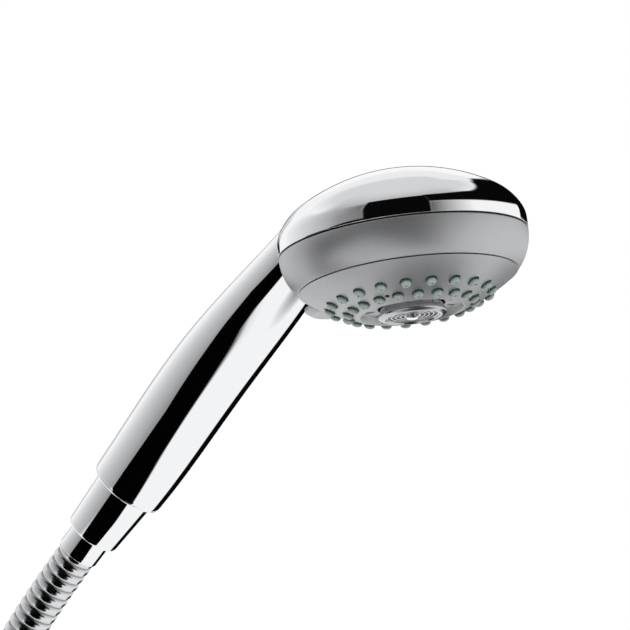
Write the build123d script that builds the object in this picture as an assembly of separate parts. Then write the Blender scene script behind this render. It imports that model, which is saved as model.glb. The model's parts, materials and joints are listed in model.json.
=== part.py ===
"""Handheld shower head with a turning spray face, a cone nut and a coiled metal hose.

Millimetres, +Z up along the head's axis, spray downwards. The origin is the middle of the
cone nut, where a wall holder grips it. +X runs from the hose to the front of the head, and
the XZ plane halves the head and the handle.
"""
from build123d import *
import math
import os

# Head: heights are measured from the seam between the chrome dome and the grey skirt.
HEAD_RADIUS = 48.0
DOME_RISE = 28.7
CROWN_RADIUS = 73.8
CROWN_REACH = 39.3
BAND_HEIGHT = 6.8
BAND_ROUND = 0.3
DOME_WALL = 2.2
SEAM_GAP = 0.7
SEAM_DEPTH = 0.9
SPIGOT_HEIGHT = 5.0
SPIGOT_FIT = 0.2
SKIRT_DEPTH = 14.7
SKIRT_BULGE = 1.5
SKIRT_WALL = 2.6
PARTING_GAP = 0.4
CUT_OVERLAP = 1.0

# Spray face, from its rim at the parting line to the recess round the centre.
FACE_RIM_RADIUS = 42.2
FACE_SHOULDER_RADIUS = 35.0
FACE_SHOULDER_DROP = 5.0
OUTER_RING_RADIUS = 31.0
OUTER_RING_DROP = 7.2
INNER_RING_RADIUS = 24.4
INNER_RING_DROP = 9.9
RECESS_RADIUS = 19.8
RECESS_DROP = 12.0
RECESS_DEPTH = 2.6
RECESS_TAPER = 0.8
FACE_WALL = 2.0
FACE_LIFT = 2.5
NOZZLES_PER_RING = 20
NOZZLE_BASE_RADIUS = 2.2
NOZZLE_TIP_RADIUS = 1.7
NOZZLE_BORE_RADIUS = 0.8
NOZZLE_CUP_RADIUS = 1.3
NOZZLE_CUP_DEPTH = 0.8
NOZZLE_REACH = 1.9
NOZZLE_CLEARANCE = 0.1
MAT_WALL = 1.2
SLOT_COUNT = 12
SLOT_LENGTH = 3.4
SLOT_WIDTH = 1.6
TAB_REACH = 6.3
TAB_WIDTH = 22.0
TAB_WALL = 3.2
TAB_ROUND = 1.1
DOT_RADIUS = 0.95
DOT_DEPTH = 0.4
DOT_ANGLE = -72.0
DOT_CIRCLE = 25.5

# Centre jet disc.
JET_RADIUS = 13.2
JET_WALL = 2.2
JET_ROUND = 0.65
JET_STAND = 2.0
JET_GROOVE_RADII = (9.6, 7.2, 4.8)
JET_GROOVE_WIDTH = 1.3
JET_GROOVE_DEPTH = 1.2
CAP_RADIUS = 2.6
CAP_STAND = 0.5
CAP_STEM_RADIUS = 1.5
CAP_FACE_RADIUS = 2.1

# Water way, selector and click stop inside the head.
FLOOR_TOP = 1.0
FLOOR_WALL = 2.5
PIVOT_RADIUS = 7.0
PIVOT_CLEARANCE = 0.08
HUB_WALL = 2.0
HUB_FLOOR = 1.8
HUB_PLAY = 0.15
FACE_SCREW_RADIUS = 2.0
SCREW_HEAD_RADIUS = 3.8
SCREW_HEAD_HEIGHT = 1.8
SCREW_REACH = 9.0
SCREW_TIP_GAP = 0.5
PLATE_RADIUS = 37.0
PLATE_WALL = 2.5
GASKET_HEIGHT = 1.5
GASKET_WIDTH = 2.4
PLATE_SCREW_CIRCLE = 29.0
PLATE_SCREW_RADIUS = 1.5
PLATE_SCREW_HEAD = 2.8
PLATE_SCREW_HEAD_HEIGHT = 1.6
PLATE_SCREW_ANGLES = (45.0, 135.0, -135.0, -45.0)
BOSS_RADIUS = 3.6
BOSS_HEIGHT = 6.0
BOSS_CAP = 1.5
PORT_CIRCLE = 19.0
PORT_RADIUS = 3.2
SEAL_WALL = 1.7
SEAL_HEIGHT = 2.8
DIVERTER_RADIUS = 33.5
DIVERTER_WALL = 2.0
DIVERTER_RIB = 1.2
RUNNING_GAP = 0.2
SELECTOR_ANGLE = 30.0
PLUNGER_CIRCLE = 30.0
PLUNGER_RADIUS = 2.0
PLUNGER_CLEARANCE = 0.06
PLUNGER_TIP_GAP = 0.05
PLUNGER_NOSE_HEIGHT = 1.2
PLUNGER_NOSE_RADIUS = 0.7
PLUNGER_HEAD_RADIUS = 2.5
PLUNGER_HEAD_HEIGHT = 1.0
CLICK_DEPTH = 0.7
NOTCH_FOOT_RADIUS = 1.2
NOTCH_TOP_RADIUS = 2.4
SPRING_POCKET_HEIGHT = 9.0
SPRING_POCKET_WALL = 1.6
SPRING_WIRE = 0.5
SPRING_TURNS = 5
SPRING_PLAY = 0.05

# Handle: stations run along its axis from the origin towards the head.
GRIP_SLOPE = 34.4
GRIP_LENGTH = 121.8
RIM_HEIGHT = 8.5
GRIP_FOOT_RADIUS = 14.65
GRIP_BELLY_RADIUS = 15.85
GRIP_BELLY_STATION = 49.0
GRIP_NECK_RADIUS = 12.6
GRIP_BOW = 2.0
GRIP_WALL = 2.2
FOOT_ROUND = 2.3
FOOT_RISE = 4.0
FOOT_WALL = 4.0
SADDLE_GAP = 0.3

# Inlet: the water tube, the nipple with its pipe thread, and what seals them.
TUBE_RADIUS = 6.0
TUBE_BORE_RADIUS = 4.6
TUBE_FIT = 0.05
SOCKET_WALL = 1.7
SOCKET_DEPTH = 8.0
ELBOW_STATION = 2.0
ELBOW_FOOT_INSET = 15.0
ELBOW_BORE_RADIUS = 4.2
DOME_OPENING_CLEARANCE = 0.4
O_RING_SECTION = 0.5
GROOVE_DEPTH = 1.05
GROOVE_HALF_WIDTH = 0.65
THREAD_MAJOR_RADIUS = 10.4775
THREAD_MINOR_RADIUS = 9.3155
THREAD_CLEARANCE = 0.07
THREAD_RELIEF = 0.3
NIPPLE_REACH = 9.2
NIPPLE_FLANGE_RADIUS = 11.8
NIPPLE_FLANGE_WALL = 3.0
NIPPLE_SOCKET_WALL = 2.0
LIMITER_RADIUS = 7.0
LIMITER_WALL = 4.0
LIMITER_HOLES = 6
LIMITER_HOLE_RADIUS = 0.9

# Hose fittings.
NUT_LENGTH = 23.6
NUT_TOP_RADIUS = 11.95
NUT_TIP_RADIUS = 10.6
NUT_CHAMFER = 1.2
NUT_FACE_GAP = 0.4
NUT_SHOULDER_WALL = 2.8
NUT_PLAY = 0.25
WASHER_WALL = 2.0
WASHER_RADIUS = 9.1
WASHER_BORE_RADIUS = 5.2
FLANGE_WALL = 2.0
INSERT_NECK_RADIUS = 6.0
INSERT_BARB_RADIUS = 3.8
INSERT_BARB_LENGTH = 15.0
INSERT_BORE_RADIUS = 2.9
FERRULE_RADIUS = 8.55
FERRULE_GRIP = 5.6
FERRULE_LENGTH = 17.3
FERRULE_CHAMFER = 0.7
FERRULE_CHAMFER_DEPTH = 0.5
WALL_NUT_FLATS = 24.0
WALL_NUT_LENGTH = 16.0
WALL_NUT_CHAMFER = 1.0
WALL_NUT_LIP = 0.5

# Hose: overall length from washer to washer, and its wound section.
HOSE_LENGTH = 1250.0
HOSE_RADIUS = 7.625
HOSE_VALLEY = 0.75
HOSE_BORE_RADIUS = 5.6
HOSE_FIT = 0.1
RIB_PITCH = 4.0
RIB_LAND_SHARE = 0.6
LINER_RADIUS = 5.3
LINER_BORE_RADIUS = 4.0
LEAD_RUNS = (70.0, 72.0, 66.0)
LEAD_BEND_SHARE = 0.45
COIL_TURNS = 2
COIL_PITCH = 16.6
TAIL_SPREAD = 9.0
TIE_WIDTH = 12.0
TIE_WALL = 1.4
TIE_CLEARANCE = 0.5

# Places worked out from the sizes above.
slope = math.radians(GRIP_SLOPE)
grip_foot = NUT_LENGTH / 2 + NUT_FACE_GAP
rim_station = grip_foot + GRIP_LENGTH
head_x = rim_station * math.cos(slope) + HEAD_RADIUS
head_z = rim_station * math.sin(slope) - RIM_HEIGHT
head_at = Location((head_x, 0, head_z))
grip_axis = Plane((0, 0, 0), x_dir=(-math.sin(slope), 0, math.cos(slope)),
                  z_dir=(math.cos(slope), 0, math.sin(slope)))
# The same axis seen from the head's own centre.
neck_axis = Plane((-head_x, 0, -head_z), x_dir=grip_axis.x_dir, z_dir=grip_axis.z_dir)

skirt_top = -SEAM_GAP / 2
band_foot = SEAM_GAP / 2
floor_top = skirt_top - FLOOR_TOP
floor_foot = floor_top - FLOOR_WALL
plate_top = floor_foot - GASKET_HEIGHT
plate_foot = plate_top - PLATE_WALL
diverter_top = plate_foot - SEAL_HEIGHT - RUNNING_GAP
diverter_foot = diverter_top - DIVERTER_WALL
face_rim = -SKIRT_DEPTH - PARTING_GAP
recess_edge = face_rim - RECESS_DROP
recess_floor = recess_edge + RECESS_DEPTH
hub_top = recess_floor + FACE_WALL
jet_face = recess_edge - JET_STAND
hub_floor_foot = recess_floor + SCREW_HEAD_HEIGHT
pivot_foot = hub_floor_foot + HUB_FLOOR + HUB_PLAY
spigot_radius = HEAD_RADIUS - DOME_WALL - SPIGOT_FIT
elbow_foot_radius = HEAD_RADIUS - ELBOW_FOOT_INSET
recess_inner = RECESS_RADIUS - RECESS_TAPER


def turned(*outline):
    """A solid turned round the Z axis from straight-sided (radius, height) corners."""
    corners = [(radius, 0, height) for radius, height in outline]
    return revolve(make_face(Polyline(*corners, close=True)), Axis.Z)


def tube(outer, inner, low, high):
    """A plain round tube or washer between two heights."""
    return turned((inner, low), (outer, low), (outer, high), (inner, high))


def rod(radius, low, high):
    """A plain round bar on the Z axis between two heights."""
    return turned((0, low), (radius, low), (radius, high), (0, high))


def polar(circle, degrees, height=0.0):
    """A place on a circle round the Z axis."""
    angle = math.radians(degrees)
    return Location((circle * math.cos(angle), circle * math.sin(angle), height))


def ring_of(shape, circle, count, start=0.0):
    """Copies of a shape spread evenly on a circle, each turned to face outwards."""
    step = 360.0 / count
    return [Rot(0, 0, start + step * n) * Pos(circle, 0, 0) * shape for n in range(count)]


def biarc(start, start_way, end, end_way):
    """Two tangent arcs that join two points along given directions."""
    span = end - start
    both = start_way + end_way
    a = 2.0 * (start_way.dot(end_way) - 1.0)
    b = -2.0 * span.dot(both)
    c = span.dot(span)
    if abs(a) < 1e-9:
        reach = -c / b
    else:
        reach = (-b - math.sqrt(b * b - 4.0 * a * c)) / (2.0 * a)
    first = start + start_way * reach
    last = end - end_way * reach
    middle = (first + last) * 0.5
    way = (last - first).normalized()
    return [Edge.make_tangent_arc(start, start_way, middle),
            Edge.make_tangent_arc(middle, way, end)]


def dome_profile(inset):
    """The dome's outline from its top to the band's foot, drawn in by a wall."""
    crown_angle = math.asin(CROWN_REACH / CROWN_RADIUS)
    crown_centre = DOME_RISE - CROWN_RADIUS
    joint = Vector(CROWN_REACH, crown_centre + CROWN_RADIUS * math.cos(crown_angle))
    normal = Vector(math.sin(crown_angle), math.cos(crown_angle))
    edge = Vector(HEAD_RADIUS - BAND_ROUND, BAND_HEIGHT)
    chord = edge - joint
    shoulder_radius = -chord.dot(chord) / (2.0 * chord.dot(normal))
    centre = joint - normal * shoulder_radius
    rim_reach = HEAD_RADIUS - inset - BAND_ROUND - centre.X
    edge_angle = math.asin(rim_reach / (shoulder_radius - inset))

    def shoulder_point(angle):
        reach = shoulder_radius - inset
        return (centre.X + reach * math.sin(angle), 0, centre.Y + reach * math.cos(angle))

    crown = CROWN_RADIUS - inset
    half = crown_angle / 2
    top = (0, 0, crown_centre + crown)
    crown_mid = (crown * math.sin(half), 0, crown_centre + crown * math.cos(half))
    crown_end = shoulder_point(crown_angle)
    rim = shoulder_point(edge_angle)
    shoulder_mid = shoulder_point((crown_angle + edge_angle) / 2)
    return [ThreePointArc(top, crown_mid, crown_end), ThreePointArc(crown_end, shoulder_mid, rim)], rim


def dome_solid(inset, foot):
    """The filled dome and band down to a height, drawn in by a wall."""
    arcs, rim = dome_profile(inset)
    side = HEAD_RADIUS - inset
    lines = Polyline(rim, (side, 0, rim[2] - (side - rim[0])), (side, 0, foot), (0, 0, foot),
                     (0, 0, DOME_RISE - inset))
    return revolve(make_face([*arcs, *lines.edges()]), Axis.Z)


def skirt_solid(inset):
    """The filled skirt, whose side bulges out between the seam and the parting line."""
    high = (HEAD_RADIUS - inset, 0, skirt_top)
    low = (FACE_RIM_RADIUS - inset, 0, -SKIRT_DEPTH)
    way = Vector(low[0] - high[0], 0, low[2] - high[2]).normalized()
    bulge = Vector(-way.Z, 0, way.X) * SKIRT_BULGE
    middle = ((high[0] + low[0]) / 2 + bulge.X, 0, (high[2] + low[2]) / 2 + bulge.Z)
    side = ThreePointArc(high, middle, low)
    lines = Polyline(low, (0, 0, -SKIRT_DEPTH), (0, 0, skirt_top), high)
    return revolve(make_face([side, *lines.edges()]), Axis.Z)


def elbow_shape(extra, bored):
    """The inlet elbow: a socket on the handle's axis and a leg down to the floor."""
    socket = TUBE_RADIUS + TUBE_FIT + SOCKET_WALL + extra
    corner = neck_axis.from_local_coords(Vector(0, 0, rim_station + ELBOW_STATION))
    foot = Vector(-elbow_foot_radius, 0, floor_foot)
    way = (foot - corner).normalized()
    leg_plane = Plane(corner, x_dir=(0, 1, 0), z_dir=way)
    length = (foot - corner).length
    low = rim_station - SOCKET_DEPTH - extra
    if bored:
        wet = neck_axis * rod(TUBE_RADIUS + TUBE_FIT, low - CUT_OVERLAP, rim_station)
        wet += neck_axis * rod(ELBOW_BORE_RADIUS, rim_station - CUT_OVERLAP, rim_station + ELBOW_STATION)
        wet += Pos(*corner) * Sphere(ELBOW_BORE_RADIUS)
        return wet + leg_plane * rod(ELBOW_BORE_RADIUS, 0, length + FLOOR_WALL)
    solid = neck_axis * rod(socket, low, rim_station + ELBOW_STATION)
    solid += Pos(*corner) * Sphere(socket)
    return solid + leg_plane * rod(ELBOW_BORE_RADIUS + SOCKET_WALL + extra, 0, length)


# Head shells.
def dome_cover():
    """The chrome dome with its band, open below and where the handle's socket goes in."""
    shell = dome_solid(0, band_foot) - dome_solid(DOME_WALL, band_foot)
    return shell - elbow_shape(DOME_OPENING_CLEARANCE, False)


def seam_gasket():
    """The dark ring in the groove between dome and skirt."""
    ring = tube(HEAD_RADIUS - SEAM_DEPTH, spigot_radius + SPIGOT_FIT / 2, skirt_top, band_foot)
    return ring - elbow_shape(DOME_OPENING_CLEARANCE, False)


def head_housing():
    """The grey skirt with its floor, spigot, pivot, screw bosses, spring pocket and inlet elbow."""
    inside = skirt_solid(SKIRT_WALL) & rod(HEAD_RADIUS, -SKIRT_DEPTH, floor_foot)
    body = skirt_solid(0) - inside
    well = rod(spigot_radius - SKIRT_WALL, floor_top, skirt_top)
    body -= well
    body += tube(spigot_radius, spigot_radius - SKIRT_WALL, floor_top, SPIGOT_HEIGHT)
    for angle in PLATE_SCREW_ANGLES:
        body += polar(PLATE_SCREW_CIRCLE, angle) * rod(BOSS_RADIUS, floor_foot, floor_top + BOSS_HEIGHT)
    pocket_radius = PLUNGER_HEAD_RADIUS + PLUNGER_CLEARANCE
    pocket_top = floor_foot + SPRING_POCKET_HEIGHT
    pocket = polar(PLUNGER_CIRCLE, 0) * rod(pocket_radius + SPRING_POCKET_WALL, floor_foot,
                                             pocket_top + SPRING_POCKET_WALL)
    room = dome_solid(DOME_WALL + SADDLE_GAP, floor_foot)
    neck_room = neck_axis * rod(GRIP_NECK_RADIUS - GRIP_WALL - SADDLE_GAP,
                                rim_station - SOCKET_DEPTH, rim_station + SOCKET_DEPTH)
    body += pocket + (elbow_shape(0, False) & (room + neck_room))
    body += rod(PIVOT_RADIUS, pivot_foot, floor_foot)
    body -= elbow_shape(0, True)
    body -= polar(PLUNGER_CIRCLE, 0) * rod(pocket_radius, floor_foot, pocket_top)
    body -= rod(FACE_SCREW_RADIUS, pivot_foot, pivot_foot + SCREW_REACH)
    for angle in PLATE_SCREW_ANGLES:
        body -= polar(PLATE_SCREW_CIRCLE, angle) * rod(PLATE_SCREW_RADIUS, floor_foot,
                                                       floor_top + BOSS_HEIGHT - BOSS_CAP)
    return body


# Water way inside the head.
def distributor_gasket():
    """The rubber ring that seals the plate to the floor."""
    return tube(PLATE_RADIUS, PLATE_RADIUS - GASKET_WIDTH, plate_top, floor_foot)


def distributor_plate():
    """The fixed plate that leads the water to one port."""
    plate = tube(PLATE_RADIUS, PIVOT_RADIUS + TUBE_FIT, plate_foot, plate_top)
    plate -= polar(PORT_CIRCLE, 180) * rod(PORT_RADIUS, plate_foot, plate_top)
    plate -= polar(PLUNGER_CIRCLE, 0) * rod(PLUNGER_RADIUS + PLUNGER_CLEARANCE, plate_foot, plate_top)
    for angle in PLATE_SCREW_ANGLES:
        plate += polar(PLATE_SCREW_CIRCLE, angle) * rod(BOSS_RADIUS, plate_top, floor_foot)
    for angle in PLATE_SCREW_ANGLES:
        plate -= polar(PLATE_SCREW_CIRCLE, angle) * rod(PLATE_SCREW_RADIUS, plate_foot, floor_foot)
    return plate


def plate_screws():
    """Screws that hold the plate up against the floor."""
    screw = rod(PLATE_SCREW_RADIUS - TUBE_FIT, plate_foot, floor_top + BOSS_HEIGHT - BOSS_CAP - SCREW_TIP_GAP)
    screw += rod(PLATE_SCREW_HEAD, plate_foot - PLATE_SCREW_HEAD_HEIGHT, plate_foot)
    return [polar(PLATE_SCREW_CIRCLE, angle) * screw for angle in PLATE_SCREW_ANGLES]


def port_seal():
    """The rubber sleeve between the fixed port and the diverter."""
    sleeve = tube(PORT_RADIUS + SEAL_WALL, PORT_RADIUS, plate_foot - SEAL_HEIGHT, plate_foot)
    return polar(PORT_CIRCLE, 180) * sleeve


def detent_plunger():
    """The click plunger, drawn pushed in, as it rides between two clicks."""
    tip = diverter_top + PLUNGER_TIP_GAP
    head_foot = floor_foot + PLUNGER_HEAD_HEIGHT
    round_start = tip + PLUNGER_NOSE_HEIGHT
    pin = turned((0, tip), (PLUNGER_NOSE_RADIUS, tip), (PLUNGER_RADIUS, round_start),
                 (PLUNGER_RADIUS, head_foot), (PLUNGER_HEAD_RADIUS, head_foot),
                 (PLUNGER_HEAD_RADIUS, head_foot + PLUNGER_HEAD_HEIGHT),
                 (0, head_foot + PLUNGER_HEAD_HEIGHT))
    return polar(PLUNGER_CIRCLE, 0) * pin


def detent_spring():
    """The coil spring that pushes the plunger down, wound on biarcs of a quarter turn."""
    low = floor_foot + 2 * PLUNGER_HEAD_HEIGHT + SPRING_WIRE / 2 + SPRING_PLAY
    high = floor_foot + SPRING_POCKET_HEIGHT - SPRING_WIRE / 2 - SPRING_PLAY
    radius = PLUNGER_HEAD_RADIUS - SPRING_WIRE
    steps = SPRING_TURNS * 4
    rise = (high - low) / steps
    way_up = rise / (math.pi / 2)

    def at(step):
        angle = step * math.pi / 2
        place = Vector(radius * math.cos(angle), radius * math.sin(angle), low + rise * step)
        way = Vector(-radius * math.sin(angle), radius * math.cos(angle), way_up).normalized()
        return place, way

    edges = []
    for step in range(steps):
        edges += biarc(*at(step), *at(step + 1))
    place, way = at(0)
    wire = sweep(Plane(place, z_dir=way) * Circle(SPRING_WIRE / 2), Wire(edges))
    return polar(PLUNGER_CIRCLE, 0) * wire


def face_screw():
    """The screw that holds the turning face on its pivot."""
    head_top = hub_floor_foot - HUB_PLAY
    screw = rod(FACE_SCREW_RADIUS - TUBE_FIT, head_top, pivot_foot + SCREW_REACH - SCREW_TIP_GAP)
    head = rod(SCREW_HEAD_RADIUS, head_top - SCREW_HEAD_HEIGHT + 2 * HUB_PLAY, head_top)
    return screw + head


# Turning face.
def face_points(lift):
    """The face's outline from its rim to the recess, lifted inwards by a wall."""
    rims = ((FACE_RIM_RADIUS, 0.0), (FACE_SHOULDER_RADIUS, FACE_SHOULDER_DROP),
            (OUTER_RING_RADIUS, OUTER_RING_DROP), (INNER_RING_RADIUS, INNER_RING_DROP),
            (RECESS_RADIUS, RECESS_DROP))
    return [(radius, face_rim - drop + lift) for radius, drop in rims]


def nozzle_places():
    """Each nozzle's circle, angle and the height of the face there."""
    step = 360.0 / NOZZLES_PER_RING
    outer = [(OUTER_RING_RADIUS, step * n, face_rim - OUTER_RING_DROP)
             for n in range(NOZZLES_PER_RING)]
    inner = [(INNER_RING_RADIUS, step * n + step / 2, face_rim - INNER_RING_DROP)
             for n in range(NOZZLES_PER_RING)]
    return outer + inner


def spray_face():
    """The grey face with its nozzle holes, recess, slots, hub and selector tab."""
    outside = face_points(0)
    inside = face_points(FACE_LIFT)
    inside[0] = (FACE_RIM_RADIUS - FACE_WALL, face_rim)
    hub_radius = PIVOT_RADIUS + PIVOT_CLEARANCE
    shell = turned(*outside, (recess_inner, recess_floor), (hub_radius + HUB_WALL, recess_floor),
                   (hub_radius + HUB_WALL, hub_top), (recess_inner, hub_top), *reversed(inside))
    hub = tube(hub_radius + HUB_WALL, hub_radius, hub_floor_foot, diverter_foot)
    hub += tube(hub_radius + HUB_WALL, SCREW_HEAD_RADIUS + RUNNING_GAP, recess_floor, hub_floor_foot)
    hub += tube(hub_radius + HUB_WALL, FACE_SCREW_RADIUS + RUNNING_GAP, hub_floor_foot,
                hub_floor_foot + HUB_FLOOR)
    tab_centre = FACE_RIM_RADIUS + TAB_REACH - TAB_WIDTH / 2
    tab = Pos(-tab_centre, 0, 0) * rod(TAB_WIDTH / 2, face_rim - TAB_WALL, face_rim)
    tab -= turned((0, face_rim - RECESS_DROP), (RECESS_RADIUS, face_rim - RECESS_DROP),
                  *reversed(outside[:-1]), (0, face_rim))
    tab_edges = tab.edges().filter_by(GeomType.CIRCLE).sort_by(Axis.X)[:2]
    tab = fillet(tab_edges, TAB_ROUND)
    face = shell + hub + tab
    hole = rod(NOZZLE_BASE_RADIUS + NOZZLE_CLEARANCE, -2 * FACE_LIFT, 2 * FACE_LIFT)
    face -= [polar(circle, angle, height) * hole for circle, angle, height in nozzle_places()]
    share = (DOT_CIRCLE - INNER_RING_RADIUS) / (OUTER_RING_RADIUS - INNER_RING_RADIUS)
    dot_height = face_rim - INNER_RING_DROP + share * (INNER_RING_DROP - OUTER_RING_DROP)
    face -= polar(DOT_CIRCLE, DOT_ANGLE, dot_height) * rod(DOT_RADIUS, -FACE_WALL, DOT_DEPTH)
    slot_circle = (recess_inner + JET_RADIUS) / 2
    slot = Pos(0, 0, recess_floor) * Box(SLOT_LENGTH, SLOT_WIDTH, 4 * FACE_WALL)
    face -= ring_of(slot, slot_circle, SLOT_COUNT)
    return face


def nozzle_mat():
    """The silicone mat under the face, with a hollow nozzle through each hole."""
    inside = face_points(FACE_LIFT + NOZZLE_CLEARANCE)[1:4]
    above = [(radius, height + MAT_WALL) for radius, height in reversed(inside)]
    mat = turned(*inside, *above)
    rise = FACE_LIFT + NOZZLE_CLEARANCE + MAT_WALL / 2
    nozzle = turned((0, -NOZZLE_REACH), (NOZZLE_TIP_RADIUS, -NOZZLE_REACH),
                    (NOZZLE_BASE_RADIUS, 0), (NOZZLE_BASE_RADIUS, rise), (0, rise))
    bore = rod(NOZZLE_BORE_RADIUS, -NOZZLE_REACH - CUT_OVERLAP, rise + 2 * MAT_WALL)
    bore += rod(NOZZLE_CUP_RADIUS, -NOZZLE_REACH - CUT_OVERLAP, -NOZZLE_REACH + NOZZLE_CUP_DEPTH)
    places = [polar(circle, angle, height) for circle, angle, height in nozzle_places()]
    mat += [place * nozzle for place in places]
    return mat - [place * bore for place in places]


def diverter_disc():
    """The turning disc that opens the port to one set of jets in each position."""
    hub_radius = PIVOT_RADIUS + PIVOT_CLEARANCE
    disc = tube(DIVERTER_RADIUS, hub_radius, diverter_foot, diverter_top)
    mat_rise = FACE_LIFT + MAT_WALL + 2 * NOZZLE_CLEARANCE
    middle = (OUTER_RING_RADIUS + INNER_RING_RADIUS) / 2
    middle_drop = (OUTER_RING_DROP + INNER_RING_DROP) / 2
    disc += tube(middle + DIVERTER_RIB / 2, middle - DIVERTER_RIB / 2,
                 face_rim - middle_drop + mat_rise + DIVERTER_RIB, diverter_foot)
    disc += tube(RECESS_RADIUS, RECESS_RADIUS - DIVERTER_RIB, hub_top, diverter_foot)
    hole = rod(PORT_RADIUS, diverter_foot, diverter_top)
    disc -= polar(PORT_CIRCLE, 180) * hole
    inner_slot = hole + Pos(-PORT_RADIUS, 0, (diverter_foot + diverter_top) / 2) * Box(
        2 * PORT_RADIUS, 2 * PORT_RADIUS, DIVERTER_WALL)
    outer_slot = hole + Pos(PORT_RADIUS, 0, (diverter_foot + diverter_top) / 2) * Box(
        2 * PORT_RADIUS, 2 * PORT_RADIUS, DIVERTER_WALL)
    disc -= Rot(0, 0, 180 + SELECTOR_ANGLE) * Pos(PORT_CIRCLE, 0, 0) * inner_slot
    disc -= Rot(0, 0, 180 - SELECTOR_ANGLE) * Pos(PORT_CIRCLE, 0, 0) * outer_slot
    notch = turned((0, diverter_top - CLICK_DEPTH), (NOTCH_FOOT_RADIUS, diverter_top - CLICK_DEPTH),
                   (NOTCH_TOP_RADIUS, diverter_top), (0, diverter_top))
    for turn in (-SELECTOR_ANGLE, 0.0, SELECTOR_ANGLE):
        disc -= polar(PLUNGER_CIRCLE, turn) * notch
    return disc


def jet_disc():
    """The raised centre disc with rings of narrow jet grooves."""
    screw_room = hub_floor_foot - SCREW_HEAD_HEIGHT
    disc = turned((0, jet_face), (JET_RADIUS, jet_face), (JET_RADIUS, recess_floor),
                  (JET_RADIUS - JET_WALL, recess_floor), (JET_RADIUS - JET_WALL, jet_face + JET_WALL),
                  (0, jet_face + JET_WALL))
    rim = disc.edges().filter_by(GeomType.CIRCLE).sort_by(Axis.Z)[0]
    disc = fillet(rim, JET_ROUND)
    for radius in JET_GROOVE_RADII:
        disc -= tube(radius + JET_GROOVE_WIDTH / 2, radius - JET_GROOVE_WIDTH / 2,
                     jet_face, jet_face + JET_GROOVE_DEPTH)
    return disc - rod(CAP_STEM_RADIUS, jet_face, screw_room)


def centre_cap():
    """The metal button in the middle of the jet disc."""
    cap = turned((0, jet_face - CAP_STAND), (CAP_FACE_RADIUS, jet_face - CAP_STAND),
                 (CAP_RADIUS, jet_face), (CAP_STEM_RADIUS - TUBE_FIT, jet_face),
                 (CAP_STEM_RADIUS - TUBE_FIT, jet_face + JET_WALL), (0, jet_face + JET_WALL))
    return cap


# Handle and inlet, along the handle's axis.
def grip_radius(station):
    """The handle's radius a distance above its foot: fullest at the belly."""
    if station < GRIP_BELLY_STATION:
        share = (GRIP_BELLY_STATION - station) / GRIP_BELLY_STATION
        return GRIP_BELLY_RADIUS - (GRIP_BELLY_RADIUS - GRIP_FOOT_RADIUS) * share ** 2
    share = (station - GRIP_BELLY_STATION) / (GRIP_LENGTH - GRIP_BELLY_STATION)
    return GRIP_BELLY_RADIUS - (GRIP_BELLY_RADIUS - GRIP_NECK_RADIUS) * share ** 2


def grip_solid(inset, foot):
    """The filled handle without its neck end: round sections on a slightly bowed line."""
    shares = (0.0, 0.2, 0.4, 0.6, 0.8, 1.0)
    sections = []
    for share in shares:
        station = foot + (GRIP_LENGTH - foot) * share
        bow = GRIP_BOW * math.sin(math.pi * station / GRIP_LENGTH) ** 2
        sections.append(Pos(bow, 0, grip_foot + station) * Circle(grip_radius(station) - inset))
    return loft(sections)


def neck_ball(inset):
    """The handle's round neck end."""
    return Pos(0, 0, rim_station) * Sphere(GRIP_NECK_RADIUS - inset)


def clear_of_head(shape):
    """A shape on the handle's axis, cut back to a gap from the head's dome and skirt."""
    dome = head_at * dome_solid(-SADDLE_GAP, skirt_top)
    skirt = head_at * skirt_solid(-SADDLE_GAP)
    return grip_axis * shape - dome - skirt


def foot_limit():
    """What the handle's foot may fill: a round shoulder that opens out above it."""
    half = math.sqrt(0.5)
    flat = GRIP_FOOT_RADIUS - FOOT_ROUND
    start = (flat, 0, grip_foot)
    middle = (flat + FOOT_ROUND * half, 0, grip_foot + FOOT_RISE * (1 - half))
    end = (GRIP_FOOT_RADIUS + SADDLE_GAP, 0, grip_foot + FOOT_RISE)
    wide = 2 * GRIP_BELLY_RADIUS
    top = rim_station + wide
    lines = Polyline(end, (wide, 0, end[2]), (wide, 0, top), (0, 0, top), (0, 0, grip_foot), start)
    return revolve(make_face([ThreePointArc(start, middle, end), *lines.edges()]), Axis.Z)


def handle_shell():
    """The chrome handle, hollow, with an end wall below and a saddle that fits the head."""
    outside = clear_of_head(grip_solid(0, 0) & foot_limit()) + clear_of_head(neck_ball(0))
    shell = outside - grip_axis * grip_solid(GRIP_WALL, FOOT_WALL) - grip_axis * neck_ball(GRIP_WALL)
    thread_hole = rod(THREAD_MAJOR_RADIUS + TUBE_FIT, grip_foot, grip_foot + FOOT_WALL)
    return shell - grip_axis * thread_hole


def water_tube():
    """The straight tube through the handle, with a groove for a seal near each end."""
    low = grip_foot + FOOT_WALL + NIPPLE_FLANGE_WALL
    pipe = tube(TUBE_RADIUS, TUBE_BORE_RADIUS, low, rim_station)
    for groove in groove_stations():
        pipe -= tube(TUBE_RADIUS, TUBE_RADIUS - GROOVE_DEPTH,
                     groove - GROOVE_HALF_WIDTH, groove + GROOVE_HALF_WIDTH)
    return grip_axis * pipe


def groove_stations():
    """Where the two seals sit on the water tube."""
    low = grip_foot + FOOT_WALL + NIPPLE_FLANGE_WALL
    return (low + SOCKET_DEPTH / 2, rim_station - SOCKET_DEPTH / 2)


def tube_o_rings():
    """A seal in each groove of the water tube."""
    circle = TUBE_RADIUS - O_RING_SECTION + TUBE_FIT / 2
    ring = Torus(circle, O_RING_SECTION)
    return [grip_axis * Pos(0, 0, groove) * ring for groove in groove_stations()]


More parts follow.
